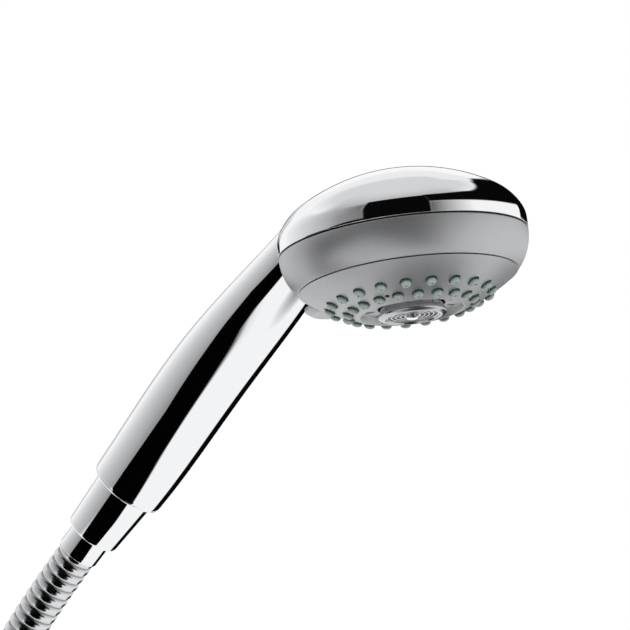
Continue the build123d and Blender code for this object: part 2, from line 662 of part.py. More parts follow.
def inlet_nipple():
    """The threaded nipple, held inside the handle's foot by its flange."""
    foot = grip_foot - NIPPLE_REACH
    flange_foot = grip_foot + FOOT_WALL
    flange_top = flange_foot + NIPPLE_FLANGE_WALL
    bore = TUBE_RADIUS + TUBE_FIT
    limiter = LIMITER_RADIUS + TUBE_FIT
    nipple = turned((limiter, foot), (THREAD_MAJOR_RADIUS, foot), (THREAD_MAJOR_RADIUS, flange_foot),
                    (NIPPLE_FLANGE_RADIUS, flange_foot), (NIPPLE_FLANGE_RADIUS, flange_top),
                    (bore + NIPPLE_SOCKET_WALL, flange_top),
                    (bore + NIPPLE_SOCKET_WALL, flange_top + SOCKET_DEPTH), (bore, flange_top + SOCKET_DEPTH),
                    (bore, flange_top), (TUBE_BORE_RADIUS, flange_top),
                    (TUBE_BORE_RADIUS, foot + LIMITER_WALL), (limiter, foot + LIMITER_WALL))
    return grip_axis * nipple


def flow_limiter():
    """The holed disc in the nipple's mouth that limits the flow."""
    foot = grip_foot - NIPPLE_REACH
    disc = rod(LIMITER_RADIUS, foot, foot + LIMITER_WALL)
    hole = rod(LIMITER_HOLE_RADIUS, foot, foot + LIMITER_WALL)
    disc -= ring_of(hole, TUBE_BORE_RADIUS - 2 * LIMITER_HOLE_RADIUS, LIMITER_HOLES)
    return grip_axis * disc


# Hose fittings, in a frame whose Z axis points out of the hose's end.
washer_top = grip_foot - NIPPLE_REACH
flange_top = washer_top - WASHER_WALL
flange_foot = flange_top - FLANGE_WALL
shoulder_top = flange_foot - NUT_PLAY
shoulder_foot = shoulder_top - NUT_SHOULDER_WALL
ferrule_top = shoulder_foot - NUT_PLAY
ferrule_foot = ferrule_top - FERRULE_LENGTH
hose_end = ferrule_foot + FERRULE_GRIP


def hose_washer():
    """The flat rubber washer that seals a hose end."""
    return tube(WASHER_RADIUS, WASHER_BORE_RADIUS, flange_top, washer_top)


def hose_insert():
    """The brass tail with its flange, pushed into the hose's liner."""
    barb_foot = hose_end - INSERT_BARB_LENGTH
    return turned((INSERT_BORE_RADIUS, flange_top), (WASHER_RADIUS, flange_top),
                  (WASHER_RADIUS, flange_foot), (INSERT_NECK_RADIUS, flange_foot),
                  (INSERT_NECK_RADIUS, hose_end), (INSERT_BARB_RADIUS, hose_end),
                  (INSERT_BARB_RADIUS, barb_foot), (INSERT_BORE_RADIUS, barb_foot))


def hose_ferrule():
    """The chrome collar crimped over the hose's end."""
    neck = INSERT_NECK_RADIUS + TUBE_FIT
    grip = HOSE_RADIUS + HOSE_FIT
    return turned((neck, ferrule_top), (FERRULE_RADIUS, ferrule_top),
                  (FERRULE_RADIUS, ferrule_foot + FERRULE_CHAMFER),
                  (FERRULE_RADIUS - FERRULE_CHAMFER_DEPTH, ferrule_foot), (grip, ferrule_foot),
                  (grip, hose_end), (neck, hose_end))


def nut_bore(thread_radius, mouth, foot):
    """What is hollow in a hose nut: thread, relief at its root, neck and room for the ferrule."""
    neck = INSERT_NECK_RADIUS + NUT_PLAY
    skirt = FERRULE_RADIUS + NUT_PLAY
    relief = thread_radius + THREAD_RELIEF
    root = washer_top + NUT_PLAY
    return turned((0, mouth), (thread_radius, mouth), (thread_radius, root), (relief, root),
                  (relief, shoulder_top), (neck, shoulder_top), (neck, shoulder_foot),
                  (skirt, shoulder_foot), (skirt, foot), (0, foot))


def cone_nut():
    """The smooth cone nut that screws on the nipple and drops into a wall holder."""
    top = NUT_LENGTH / 2
    cone = turned((0, top), (NUT_TOP_RADIUS, top), (NUT_TIP_RADIUS, -top), (0, -top))
    lower = cone.edges().filter_by(GeomType.CIRCLE).sort_by(Axis.Z)[0]
    cone = fillet(lower, NUT_CHAMFER)
    cone -= nut_bore(THREAD_MAJOR_RADIUS + THREAD_CLEARANCE, top, -top)
    return grip_axis * cone


def wall_nut():
    """The hexagon nut for the wall outlet, with its pipe thread."""
    foot = shoulder_foot - WALL_NUT_LIP
    mouth = foot + WALL_NUT_LENGTH
    nut = Pos(0, 0, foot) * extrude(RegularPolygon(WALL_NUT_FLATS / 2, 6, major_radius=False), WALL_NUT_LENGTH)
    corner = WALL_NUT_FLATS / math.sqrt(3)
    rounded = turned((0, foot), (corner - WALL_NUT_CHAMFER * 2, foot), (corner, foot + WALL_NUT_CHAMFER),
                     (corner, mouth - WALL_NUT_CHAMFER), (corner - WALL_NUT_CHAMFER * 2, mouth), (0, mouth))
    return (nut & rounded) - nut_bore(THREAD_MINOR_RADIUS, mouth, foot)


# Hose route: straight out of the ferrule, drooping to hang down, then a tied upright coil.
out_way = -grip_axis.z_dir
lead_start = grip_axis.from_local_coords(Vector(0, 0, hose_end))
tilt = (90.0 - GRIP_SLOPE) / 2
half_way = Vector(-math.cos(math.radians(GRIP_SLOPE + tilt)), 0, -math.sin(math.radians(GRIP_SLOPE + tilt)))
down = Vector(0, 0, -1)
lead_points = [lead_start]
for run, way in zip(LEAD_RUNS, (out_way, half_way, down)):
    lead_points.append(lead_points[-1] + way * run)
lead_radii = []
for first, corner_point, last in zip(lead_points, lead_points[1:], lead_points[2:]):
    turn = math.radians((corner_point - first).get_angle(last - corner_point))
    shorter = min((corner_point - first).length, (last - corner_point).length)
    lead_radii.append(LEAD_BEND_SHARE * shorter / math.tan(turn / 2))
lead_path = FilletPolyline(*lead_points, radius=lead_radii)
coil_start = lead_points[-1]
straight_end = 2 * HOSE_RADIUS
coil_length = HOSE_LENGTH - 2 * (flange_top - hose_end) - lead_path.length - 2 * straight_end
coil_radius = coil_length / (COIL_TURNS * 2 * math.pi)
coil_centre = coil_start + down * straight_end + Vector(coil_radius, 0, 0)


def coil_place(quarter):
    """A place and direction on the coil: round an axis along Y, stepping aside each turn."""
    angle = math.pi + quarter * math.pi / 2
    last = COIL_TURNS * 4 - 2
    aside = COIL_PITCH / 4 * quarter + TAIL_SPREAD / 2 * max(0, quarter - last)
    step = COIL_PITCH / 4 + (TAIL_SPREAD / 2 if quarter > last else 0.0)
    if quarter in (0, COIL_TURNS * 4):
        step = 0.0
    place = coil_centre + Vector(coil_radius * math.cos(angle), aside, coil_radius * math.sin(angle))
    way = Vector(-math.sin(angle), step / (coil_radius * math.pi / 2), math.cos(angle)).normalized()
    return place, way


coil_edges = [Edge.make_line(coil_start, coil_start + down * straight_end)]
for quarter in range(COIL_TURNS * 4):
    coil_edges += biarc(*coil_place(quarter), *coil_place(quarter + 1))
coil_finish = coil_place(COIL_TURNS * 4)[0]
hose_finish = coil_finish + down * straight_end
coil_edges.append(Edge.make_line(coil_finish, hose_finish))
coil_path = Wire(coil_edges)
wall_end = Plane(hose_finish - down * hose_end, x_dir=(1, 0, 0), z_dir=down)


def hose_lead():
    """The ribbed metal wrap of the free stretch, with its bore."""
    length = lead_path.length
    ribs = round((length - 2 * straight_end) / RIB_PITCH)
    pitch = (length - 2 * straight_end) / ribs
    land = pitch * RIB_LAND_SHARE
    slant = (pitch - land) / 3
    marks = [(0.0, HOSE_RADIUS)]
    for rib in range(ribs):
        low = straight_end + rib * pitch
        marks += [(low, HOSE_RADIUS - HOSE_VALLEY), (low + slant, HOSE_RADIUS),
                  (low + slant + land, HOSE_RADIUS), (low + 2 * slant + land, HOSE_RADIUS - HOSE_VALLEY)]
    marks += [(length - straight_end, HOSE_RADIUS), (length, HOSE_RADIUS)]
    sections = []
    for mark, radius in marks:
        place = lead_path.position_at(mark / length)
        way = lead_path.tangent_at(mark / length)
        sections.append(Plane(place, x_dir=(0, 1, 0), z_dir=way) * Circle(radius))
    outside = loft(sections, ruled=True)
    bore = sweep(Plane(lead_start, x_dir=(0, 1, 0), z_dir=out_way) * Circle(HOSE_BORE_RADIUS), lead_path)
    return outside - bore


def ring_on_path(path, place, way, outer, inner):
    """A plain hose wall swept along a path from its start."""
    start = Plane(place, x_dir=(0, 1, 0), z_dir=way)
    return sweep(start * (Circle(outer) - Circle(inner)), path)


def hose_coil():
    """The put-away length of the metal wrap, wound into an upright coil."""
    return ring_on_path(coil_path, coil_start, down, HOSE_RADIUS, HOSE_BORE_RADIUS)


def hose_tie():
    """The strap round the strands where the coil closes."""
    spread = COIL_PITCH * COIL_TURNS + TAIL_SPREAD
    reach = HOSE_RADIUS + TIE_CLEARANCE
    middle = coil_start + Vector(0, spread / 2, -straight_end - TIE_WIDTH / 2)
    inner = SlotOverall(spread + 2 * reach, 2 * reach, rotation=90)
    outer = SlotOverall(spread + 2 * (reach + TIE_WALL), 2 * (reach + TIE_WALL), rotation=90)
    return Pos(*middle) * extrude(outer - inner, TIE_WIDTH)


def least_coil_gap(count):
    """The least gap between strands of the hose, measured on points of the whole route."""
    places = [lead_path.position_at(n / count) for n in range(count)]
    places += [coil_path.position_at(n / (4 * count)) for n in range(4 * count + 1)]
    whole = lead_path.length + coil_path.length
    along = [lead_path.length * n / count for n in range(count)]
    along += [lead_path.length + coil_path.length * n / (4 * count) for n in range(4 * count + 1)]
    least = whole
    for n, first in enumerate(places):
        for m in range(n + 1, len(places)):
            if along[m] - along[n] > 8 * HOSE_RADIUS:
                least = min(least, (places[m] - first).length)
    return least - 2 * HOSE_RADIUS


def main():
    """Build every piece and write each to its own file."""
    head = {
        "dome_cover": dome_cover(),
        "seam_gasket": seam_gasket(),
        "head_housing": head_housing(),
        "distributor_gasket": distributor_gasket(),
        "distributor_plate": distributor_plate(),
        "plate_screws": plate_screws(),
        "port_seal": port_seal(),
        "detent_plunger": detent_plunger(),
        "detent_spring": detent_spring(),
        "face_screw": face_screw(),
        "spray_face": spray_face(),
        "nozzle_mat": nozzle_mat(),
        "diverter_disc": diverter_disc(),
        "jet_disc": jet_disc(),
        "centre_cap": centre_cap(),
    }
    pieces = {}
    for name, shape in head.items():
        pieces[name] = head_at * Compound(shape) if isinstance(shape, list) else head_at * shape
    pieces["handle_shell"] = handle_shell()
    pieces["water_tube"] = water_tube()
    pieces["tube_o_rings"] = Compound(tube_o_rings())
    pieces["inlet_nipple"] = inlet_nipple()
    pieces["flow_limiter"] = flow_limiter()
    pieces["cone_nut"] = cone_nut()
    pieces["inlet_washer"] = grip_axis * hose_washer()
    pieces["hose_insert"] = grip_axis * hose_insert()
    pieces["hose_ferrule"] = grip_axis * hose_ferrule()
    pieces["hose_lead"] = hose_lead()
    pieces["hose_coil"] = hose_coil()
    pieces["lead_liner"] = ring_on_path(lead_path, lead_start, out_way, LINER_RADIUS, LINER_BORE_RADIUS)
    pieces["coil_liner"] = ring_on_path(coil_path, coil_start, down, LINER_RADIUS, LINER_BORE_RADIUS)
    pieces["hose_tie"] = hose_tie()
    pieces["wall_insert"] = wall_end * hose_insert()
    pieces["wall_ferrule"] = wall_end * hose_ferrule()
    pieces["wall_nut"] = wall_end * wall_nut()
    pieces["wall_washer"] = wall_end * hose_washer()
    os.makedirs("parts", exist_ok=True)
    for name, shape in pieces.items():
        export_step(shape, "parts/" + name + ".step")
    print("hose bend radii", [round(radius, 1) for radius in lead_radii], "coil radius", round(coil_radius, 1))
    print("least gap between strands", round(least_coil_gap(120), 2))
    section = math.pi * (HOSE_RADIUS ** 2 - HOSE_BORE_RADIUS ** 2)
    print("coil volume over section times length", pieces["hose_coil"].volume / (section * coil_path.length))


main()
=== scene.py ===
"""Visible pieces, finishes and stage of a handheld shower head on a metal hose, in metres."""
import json
import math
from functools import partial

import bmesh
import bpy
import numpy as np
from bpy.props import FloatProperty, FloatVectorProperty, IntProperty, PointerProperty
from bpy.types import Operator, Panel, PropertyGroup
from mathutils import Matrix, Vector


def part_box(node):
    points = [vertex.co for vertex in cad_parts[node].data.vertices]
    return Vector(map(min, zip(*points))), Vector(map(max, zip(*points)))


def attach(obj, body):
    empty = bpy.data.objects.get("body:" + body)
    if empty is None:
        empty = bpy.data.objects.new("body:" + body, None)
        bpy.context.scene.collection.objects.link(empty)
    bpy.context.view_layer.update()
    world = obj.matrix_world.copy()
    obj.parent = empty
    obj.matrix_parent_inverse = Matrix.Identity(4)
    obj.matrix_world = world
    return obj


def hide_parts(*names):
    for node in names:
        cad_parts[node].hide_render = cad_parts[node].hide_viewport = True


bl_info = {
    "name": "Handheld shower head",
    "version": (1, 0, 0),
    "blender": (4, 5, 0),
    "location": "View3D > Sidebar > Shower head",
    "description": "Builds the shells, spray face, hose and studio of a handheld shower head",
    "category": "Object",
}

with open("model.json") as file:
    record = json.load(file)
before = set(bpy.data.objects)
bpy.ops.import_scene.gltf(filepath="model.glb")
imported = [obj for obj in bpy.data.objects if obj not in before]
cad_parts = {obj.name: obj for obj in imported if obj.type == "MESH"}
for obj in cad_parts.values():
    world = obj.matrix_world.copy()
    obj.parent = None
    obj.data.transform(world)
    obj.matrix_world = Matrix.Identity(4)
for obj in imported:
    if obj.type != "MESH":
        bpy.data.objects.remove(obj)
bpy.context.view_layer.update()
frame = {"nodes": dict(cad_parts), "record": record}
joints = {joint["name"]: joint for joint in frame["record"]["behaviour"]["joints"]}

MM = 0.001
dome_low, dome_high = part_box("dome_cover")
jet_low, jet_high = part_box("jet_disc")
HEAD_RADIUS = (dome_high[1] - dome_low[1]) / 2
SEAM_GAP = 0.7 * MM
HEAD_X = (jet_low[0] + jet_high[0]) / 2
HEAD_Z = dome_low[2] - SEAM_GAP / 2
HEAD_PLACE = Matrix.Translation((HEAD_X, 0, HEAD_Z))
GRIP_WAY = Vector(joints["cone_nut_spin"]["axis"]).normalized()
GRIP_SIDE = Vector((-GRIP_WAY.z, 0, GRIP_WAY.x))
GRIP_PLACE = Matrix((GRIP_SIDE, GRIP_WAY.cross(GRIP_SIDE), GRIP_WAY)).transposed().to_4x4()

# The spray face: its rim and its recess's floor, counted from the seam, and its parabola's slope at the rim
# and curve per metre.
FACE_RIM_DROP = 15.1 * MM
RECESS_FLOOR = -24.5 * MM
FACE_SLOPE = 0.75
FACE_CURVE = 9.57
JET_FACE = jet_low[2] - HEAD_Z

# The picture's side and the head's middle in it, in pixels.
PICTURE_SIDE = 630
HEAD_PIXEL = (403.5, 244.1)
PIXELS_PER_MM = 2.624


def linear(hex_colour):
    """An sRGB hex colour as linear red, green, blue and full alpha."""
    parts = np.array([int(hex_colour[n:n + 2], 16) for n in (1, 3, 5)]) / 255.0
    light = np.where(parts <= 0.04045, parts / 12.92, ((parts + 0.055) / 1.055) ** 2.4)
    return (*light.tolist(), 1.0)


metres = partial(FloatProperty, subtype="DISTANCE")
tint = partial(FloatVectorProperty, size=4, subtype="COLOR")


class HeadSizes(PropertyGroup):
    """Sizes of the spray head, heights counted from the seam under the dome."""

    radius: metres(name="Radius", description="Half the head's width", default=HEAD_RADIUS)
    dome_rise: metres(name="Dome rise", description="Top of the dome above the seam", default=28.2 * MM)
    crown_radius: metres(name="Crown radius", description="Radius of the flat crown", default=73.8 * MM)
    crown_reach: metres(name="Crown reach", description="Where the crown turns into the shoulder",
                        default=39.3 * MM)
    band_height: metres(name="Band height", description="Upright band above the seam", default=6.8 * MM)
    skirt_depth: metres(name="Skirt depth", description="Grey skirt below the seam", default=14.7 * MM)
    skirt_bulge: metres(name="Skirt bulge", description="How far the side swells out", default=1.5 * MM)
    rim_radius: metres(name="Face rim radius", description="Face at the parting line", default=42.2 * MM)
    nozzles: IntProperty(name="Nozzles per ring", description="Silicone nozzles in each ring", default=20)


class HandleSizes(PropertyGroup):
    """Sizes of the chrome handle, lengths counted from its foot along its axis."""

    foot: metres(name="Foot", description="Handle's foot along the axis from the origin", default=12.2 * MM)
    length: metres(name="Length", description="Foot to the head's rim", default=121.8 * MM)
    foot_radius: metres(name="Foot radius", description="Radius at the foot", default=14.65 * MM)
    belly_radius: metres(name="Belly radius", description="Radius at the fullest place", default=15.85 * MM)
    belly_place: metres(name="Belly place", description="How far up the fullest place is", default=49.0 * MM)
    neck_radius: metres(name="Neck radius", description="Radius where it meets the head", default=12.6 * MM)
    bow: metres(name="Bow", description="How far the middle bows upwards", default=2.0 * MM)


class HoseSizes(PropertyGroup):
    """Sizes of the wound metal hose."""

    length: metres(name="Length", description="Tube between its two collars", default=1.217)
    radius: metres(name="Radius", description="Half the hose's width", default=7.625 * MM)
    valley: metres(name="Valley", description="Depth between two ribs", default=0.85 * MM)
    pitch: metres(name="Rib pitch", description="Distance from rib to rib", default=4.0 * MM)
    coil_radius: metres(name="Coil radius", description="Radius at the middle of a turn", default=77.979 * MM)
    turns: IntProperty(name="Turns", description="Turns of the put-away coil", default=2)


class FinishColours(PropertyGroup):
    """Colours of the finishes, as linear light."""

    chrome: tint(name="Chrome", description="Mirror colour of the chromium plate", default=linear("#F2F3F5"))
    lacquer_low: tint(name="Lacquer, dark flakes", description="Darker flakes of the grey lacquer",
                      default=linear("#BBBCBE"))
    lacquer_high: tint(name="Lacquer, light flakes", description="Lighter flakes of the grey lacquer",
                       default=linear("#CBCCCE"))
    # The deep silicone colour is also painted shade at the nozzles' root and in the bore, and the thin one is
    # also painted light shining through the tip.
    silicone_deep_and_shaded: tint(name="Silicone, deep", description="Nozzle silicone at the root and in the bore",
                        default=linear("#1E5648"))
    silicone_thin_and_lit: tint(name="Silicone, thin", description="Nozzle silicone at the thin tip",
                        default=linear("#E4EFEA"))
    floor: tint(name="Floor", description="Pale card of the studio floor", default=linear("#F2F2F2"))


class StudioSettings(PropertyGroup):
    """The camera and the floor."""

    azimuth: FloatProperty(name="Azimuth", description="Camera's turn round the head's axis",
                           default=math.radians(38.0), subtype="ANGLE")
    elevation: FloatProperty(name="Elevation", description="Camera's height above the horizon",
                             default=math.radians(-13.0), subtype="ANGLE")
    roll: FloatProperty(name="Roll", description="Camera's lean to the right", default=math.radians(7.3),
                        subtype="ANGLE")
    distance: metres(name="Distance", description="Camera to the object", default=8.0)
    view_width: metres(name="View width", description="Width of the picture at the object",
                       default=PICTURE_SIDE / PIXELS_PER_MM * MM)
    floor: metres(name="Floor", description="Height of the floor", default=-0.2796)


class ShowerHead(PropertyGroup):
    """All settings of the shower head."""

    head: PointerProperty(type=HeadSizes)
    handle: PointerProperty(type=HandleSizes)
    hose: PointerProperty(type=HoseSizes)
    colours: PointerProperty(type=FinishColours)
    studio: PointerProperty(type=StudioSettings)


def add_node(tree, kind, inputs=(), **settings):
    """A node of a kind with its settings, its inputs given as values or as sockets to link from."""
    node = tree.nodes.new(kind)
    for key, value in settings.items():
        setattr(node, key, value)
    for key, value in dict(inputs).items():
        if isinstance(value, bpy.types.NodeSocket):
            tree.links.new(value, node.inputs[key])
        else:
            node.inputs[key].default_value = value
    return node


def new_material(name, constants=()):
    """A material whose Principled shader has the given constants, with its tree and Object coordinates."""
    material = bpy.data.materials.new(name)
    material.use_nodes = True
    tree = material.node_tree
    tree.nodes.clear()
    shader = add_node(tree, "ShaderNodeBsdfPrincipled", constants)
    add_node(tree, "ShaderNodeOutputMaterial", {"Surface": shader.outputs["BSDF"]})
    where = add_node(tree, "ShaderNodeTexCoord").outputs["Object"]
    return material, tree, shader, where


def noise(tree, where, size, detail):
    """A fractal noise whose grain has a size in metres, as a share from 0 to 1."""
    grain = add_node(tree, "ShaderNodeTexNoise", {"Vector": where, "Scale": 1 / size, "Detail": detail})
    return grain.outputs["Fac"]


def paint(tree, shader, share, low, high):
    """Gives a shader a base colour between two linear colours by a share."""
    ramp = add_node(tree, "ShaderNodeValToRGB", {"Fac": share})
    ramp.color_ramp.elements[0].color = low
    ramp.color_ramp.elements[1].color = high
    tree.links.new(ramp.outputs["Color"], shader.inputs["Base Color"])


def roughen(tree, shader, share, low, high):
    """Gives a shader a roughness between two values by a share."""
    spread = add_node(tree, "ShaderNodeMapRange", {"Value": share, "To Min": low, "To Max": high})
    tree.links.new(spread.outputs["Result"], shader.inputs["Roughness"])


def emboss(tree, shader, height, strength, depth):
    """Gives a shader a fine relief of a depth in metres."""
    bump = add_node(tree, "ShaderNodeBump", {"Height": height, "Strength": strength, "Distance": depth})
    tree.links.new(bump.outputs["Normal"], shader.inputs["Normal"])


def attribute(tree, name):
    """The share that a mesh holds at its points under a name."""
    return add_node(tree, "ShaderNodeAttribute", attribute_name=name).outputs["Fac"]


def calculate(tree, operation, *values):
    """What a math operation gives for some values or sockets."""
    return add_node(tree, "ShaderNodeMath", enumerate(values), operation=operation).outputs["Value"]


def blend(tree, share, low, high):
    """A value between two values or sockets by a share."""
    return add_node(tree, "ShaderNodeMix", {"Factor": share, "A": low, "B": high}).outputs["Result"]


def colours():
    """The colours that the user has set."""
    return bpy.context.scene.shower_head.colours


def grained(name, size, detail, colour_ends, rough_ends, metallic=0.0):
    """A material whose colour and roughness both follow one noise between their ends."""
    material, tree, shader, where = new_material(name, {"Metallic": metallic})
    grain = noise(tree, where, size, detail)
    paint(tree, shader, grain, *colour_ends)
    roughen(tree, shader, grain, *rough_ends)
    return material


def chrome_plate():
    """Chromium over moulded ABS: a hard mirror with the faintest haze."""
    constants = {"Base Color": colours().chrome, "Metallic": 1.0}
    material, tree, shader, where = new_material("chromium_plate", constants)
    roughen(tree, shader, noise(tree, where, 14 * MM, 3.0), 0.025, 0.06)
    return material


def hose_chrome():
    """Chromium-plated steel strip, folded and wound: bright ribs and greyer valleys, the valleys' grey being
    painted shade.
    """
    material, tree, shader, where = new_material("chromium_wound_strip", {"Metallic": 1.0})
    # Painted shade: the colour darkens from the rib crowns down into the valleys.
    paint(tree, shader, attribute(tree, "rib"), linear("#6E7072"), linear("#DDDFE1"))
    roughen(tree, shader, noise(tree, where, 2 * MM, 4.0), 0.13, 0.25)
    return material


def satin_lacquer():
    """Metallic grey lacquer on moulded ABS: satin, with flakes too fine to see one by one."""
    material, tree, shader, where = new_material("satin_grey_lacquer", {"Metallic": 0.85})
    flake = noise(tree, where, 0.6 * MM, 2.0)
    paint(tree, shader, flake, colours().lacquer_low, colours().lacquer_high)
    roughen(tree, shader, noise(tree, where, 22 * MM, 2.0), 0.42, 0.50)
    emboss(tree, shader, flake, 0.05, 0.1 * MM)
    return material


def polished_lacquer():
    """The same grey lacquer over a polished moulding: glossier, so that its walls and grooves turn dark."""
    greys = colours().lacquer_low, colours().lacquer_high
    return grained("polished_grey_lacquer", 6 * MM, 2.0, greys, (0.16, 0.24), 0.92)


def nozzle_silicone():
    """Clear grey-green silicone: pale at the thin tip, dark green towards the root and in the bore. The pale
    tip is partly painted light shining through it, and the dark root and bore are partly painted shade.
    """
    constants = {"Roughness": 0.06, "IOR": 1.41, "Transmission Weight": 0.5}
    material, tree, shader, where = new_material("silicone_translucent", constants)
    sway = 0.12
    cloud = noise(tree, where, 1.5 * MM, 2.0)
    # Painted light and shade: the share is pale at the tip and dark at the root and in the bore, partly for
    # the silicone's thickness.
    thin = calculate(tree, "MULTIPLY_ADD", cloud, sway, attribute(tree, "thinness_and_painted_light"))
    paint(tree, shader, thin, colours().silicone_deep_and_shaded, colours().silicone_thin_and_lit)
    return material


def black_rubber():
    """Moulded nitrile rubber: nearly black and dull."""
    blacks = linear("#161616"), linear("#262626")
    return grained("nitrile_rubber", 0.8 * MM, 3.0, blacks, (0.55, 0.75))


def white_plastic():
    """Moulded acetal: milky white with a soft gloss."""
    whites = linear("#DAD9D2"), linear("#E6E5DF")
    return grained("acetal_moulded", 9 * MM, 2.0, whites, (0.32, 0.45))


def turned_brass():
    """Turned brass: yellow metal with a fine grain."""
    yellows = linear("#B08A45"), linear("#CDA75C")
    return grained("brass_turned", 1.2 * MM, 5.0, yellows, (0.22, 0.36), 1.0)


def stainless_steel():
    """Stainless steel of the spring and the screws: grey metal with a fine grain."""
    greys = linear("#9A9A9A"), linear("#BDBDBD")
    return grained("stainless_drawn", 0.9 * MM, 4.0, greys, (0.25, 0.40), 1.0)


def hose_liner():
    """Extruded hose liner: dark rubber, a little shiny."""
    material, tree, shader, where = new_material("extruded_liner", {"Roughness": 0.5})
    paint(tree, shader, noise(tree, where, 3 * MM, 3.0), linear("#2C2C2C"), linear("#3C3C3C"))
    return material


def tie_webbing():
    """Woven nylon tape: black, matt, with a weave of crossed waves."""
    material, tree, shader, where = new_material("nylon_webbing", {"Roughness": 0.85})
    wave = {"Vector": where, "Scale": 1 / (6 * MM), "Distortion": 0.4}
    along = add_node(tree, "ShaderNodeTexWave", wave, bands_direction="Z").outputs["Fac"]
    across = add_node(tree, "ShaderNodeTexWave", wave, bands_direction="Y").outputs["Fac"]
    weave = calculate(tree, "MULTIPLY", along, across)
    paint(tree, shader, weave, linear("#121212"), linear("#2B2B2B"))
    emboss(tree, shader, weave, 0.5, 0.3 * MM)
    return material


FINISHES = {
    "chrome_plate": chrome_plate,
    "chrome_hose_wrap": hose_chrome,
    "satin_grey_plastic": satin_lacquer,
    "black_rubber": black_rubber,
    "white_plastic": white_plastic,
    "brass": turned_brass,
    "stainless_steel": stainless_steel,
    "hose_liner": hose_liner,
    "nozzle_silicone": nozzle_silicone,
    "tie_strap": tie_webbing,
}
made_finishes = {}


def finish_of(slot):
    """The material for a slot, made the first time that it is asked for."""
    if slot not in made_finishes:
        made_finishes[slot] = FINISHES[slot]()
    return made_finishes[slot]


def rounded_profile(corners, steps=7):
    """Straight runs between (radius, height, round) corners, each corner eased by a quadratic curve
    that leaves the runs at its round's length from the corner."""
    points = np.array([corner[:2] for corner in corners], dtype=float)
    rows = []
    for n, corner in enumerate(corners):
        ease = corner[2] if len(corner) > 2 else 0.0
        if ease == 0.0 or n in (0, len(corners) - 1):
            rows.append(points[n:n + 1])
            continue
        back = points[n - 1] - points[n]
        ahead = points[n + 1] - points[n]
        start = points[n] + back / np.linalg.norm(back) * ease
        end = points[n] + ahead / np.linalg.norm(ahead) * ease
        t = np.linspace(0, 1, steps)[:, None]
        rows.append((1 - t) ** 2 * start + 2 * t * (1 - t) * points[n] + t ** 2 * end)
    return np.concatenate(rows)


def turned_points(profile, sides):
    """A profile of (radius, height) rows carried once round the Z axis, as rows of rings."""
    turn = np.linspace(0, 2 * np.pi, sides, endpoint=False)
    radius = profile[:, 0][:, None]
    height = np.broadcast_to(profile[:, 1][:, None], (len(profile), sides))
    return np.stack([radius * np.cos(turn), radius * np.sin(turn), height], axis=-1)


def grid_faces(rows, columns, wrap):
    """Corner numbers of the squares of a grid, its last column joined to the first if wrapped."""
    number = np.arange(rows * columns).reshape(rows, columns)
    if wrap:
        number = np.concatenate([number, number[:, :1]], axis=1)
    corners = [number[:-1, :-1], number[:-1, 1:], number[1:, 1:], number[1:, :-1]]
    return np.stack(corners, axis=-1).reshape(-1, 4)


def mesh_piece(name, grids, place, sharp=34.0, shade=None):
    """A welded, smooth object from grids of points, each with its wrap, set in place, with its edges over
    sharp degrees kept. The shade is an attribute's name and its value at each point."""
    weld = 0.002 * MM
    points = []
    faces = []
    start = 0
    for grid, wrap in grids:
        rows, columns = grid.shape[:2]
        points.append(grid.reshape(-1, 3))
        faces.append(grid_faces(rows, columns, wrap) + start)
        start += rows * columns
    turn = np.array(place)
    points = np.concatenate(points) @ turn[:3, :3].T + turn[:3, 3]
    mesh = bpy.data.meshes.new(name)
    mesh.from_pydata(points.tolist(), [], np.concatenate(faces).tolist())
    if shade:
        mesh.attributes.new(shade[0], "FLOAT", "POINT").data.foreach_set("value", shade[1])
    shape = bmesh.new()
    shape.from_mesh(mesh)
    bmesh.ops.remove_doubles(shape, verts=shape.verts, dist=weld)
    bmesh.ops.recalc_face_normals(shape, faces=shape.faces)
    shape.to_mesh(mesh)
    shape.free()
    mesh.shade_smooth()
    mesh.set_sharp_from_angle(angle=math.radians(sharp))
    piece = bpy.data.objects.new(name, mesh)
    bpy.context.scene.collection.objects.link(piece)
    return piece


def turned_piece(name, profile, sides, place):
    """A piece turned from one profile about the Z axis of its place."""
    return mesh_piece(name, [(turned_points(profile, sides), True)], place)


def dress(piece, slot, body, *nodes):
    """Gives a piece its finish, its body and the CAD nodes that it stands for."""
    piece.data.materials.clear()
    piece.data.materials.append(finish_of(slot))
    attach(piece, body)
    if nodes:
        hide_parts(*nodes)


class SHOWER_OT_dome(Operator):
    """The chrome dome: a flat crown arc, a tighter shoulder arc and an upright band, as a hollow shell"""

    bl_idname = "shower.dome"
    bl_label = "Dome"

    def execute(self, context):
        head = context.scene.shower_head.head
        wall = 2.2 * MM
        edge_inset = 0.3 * MM
        band_top = head.band_height - 0.6 * MM
        band_round = 2.2 * MM
        foot_round = 0.25 * MM
        foot = SEAM_GAP / 2
        crown = math.asin(head.crown_reach / head.crown_radius)
        centre = np.array([0, head.dome_rise - head.crown_radius])
        way = np.array([math.sin(crown), math.cos(crown)])
        joint = centre + head.crown_radius * way
        edge = np.array([head.radius - edge_inset, head.band_height])
        chord = edge - joint
        shoulder = -chord.dot(chord) / (2 * chord.dot(way))
        middle = joint - way * shoulder
        edge_turn = math.atan2(edge[0] - middle[0], edge[1] - middle[1])

        def outline(inset):
            first = np.linspace(0, crown, 40)[:, None]
            second = np.linspace(crown, edge_turn, 24)[1:, None]
            top = centre + (head.crown_radius - inset) * np.hstack([np.sin(first), np.cos(first)])
            side = middle + (shoulder - inset) * np.hstack([np.sin(second), np.cos(second)])
            return np.concatenate([top, side])

        outer = outline(0)[:-3]
        inner = outline(wall)
        band = rounded_profile([tuple(outer[-1]), (head.radius, band_top, band_round),
                                (head.radius, foot, foot_round), (head.radius - wall, foot),
                                tuple(inner[-1])])
        profile = np.concatenate([outer[:-1], band, inner[::-1][1:]])
        dome = turned_piece("dome_cap", profile, 192, HEAD_PLACE)
        dress(dome, "chrome_plate", "handset", "dome_cover")
        return {"FINISHED"}


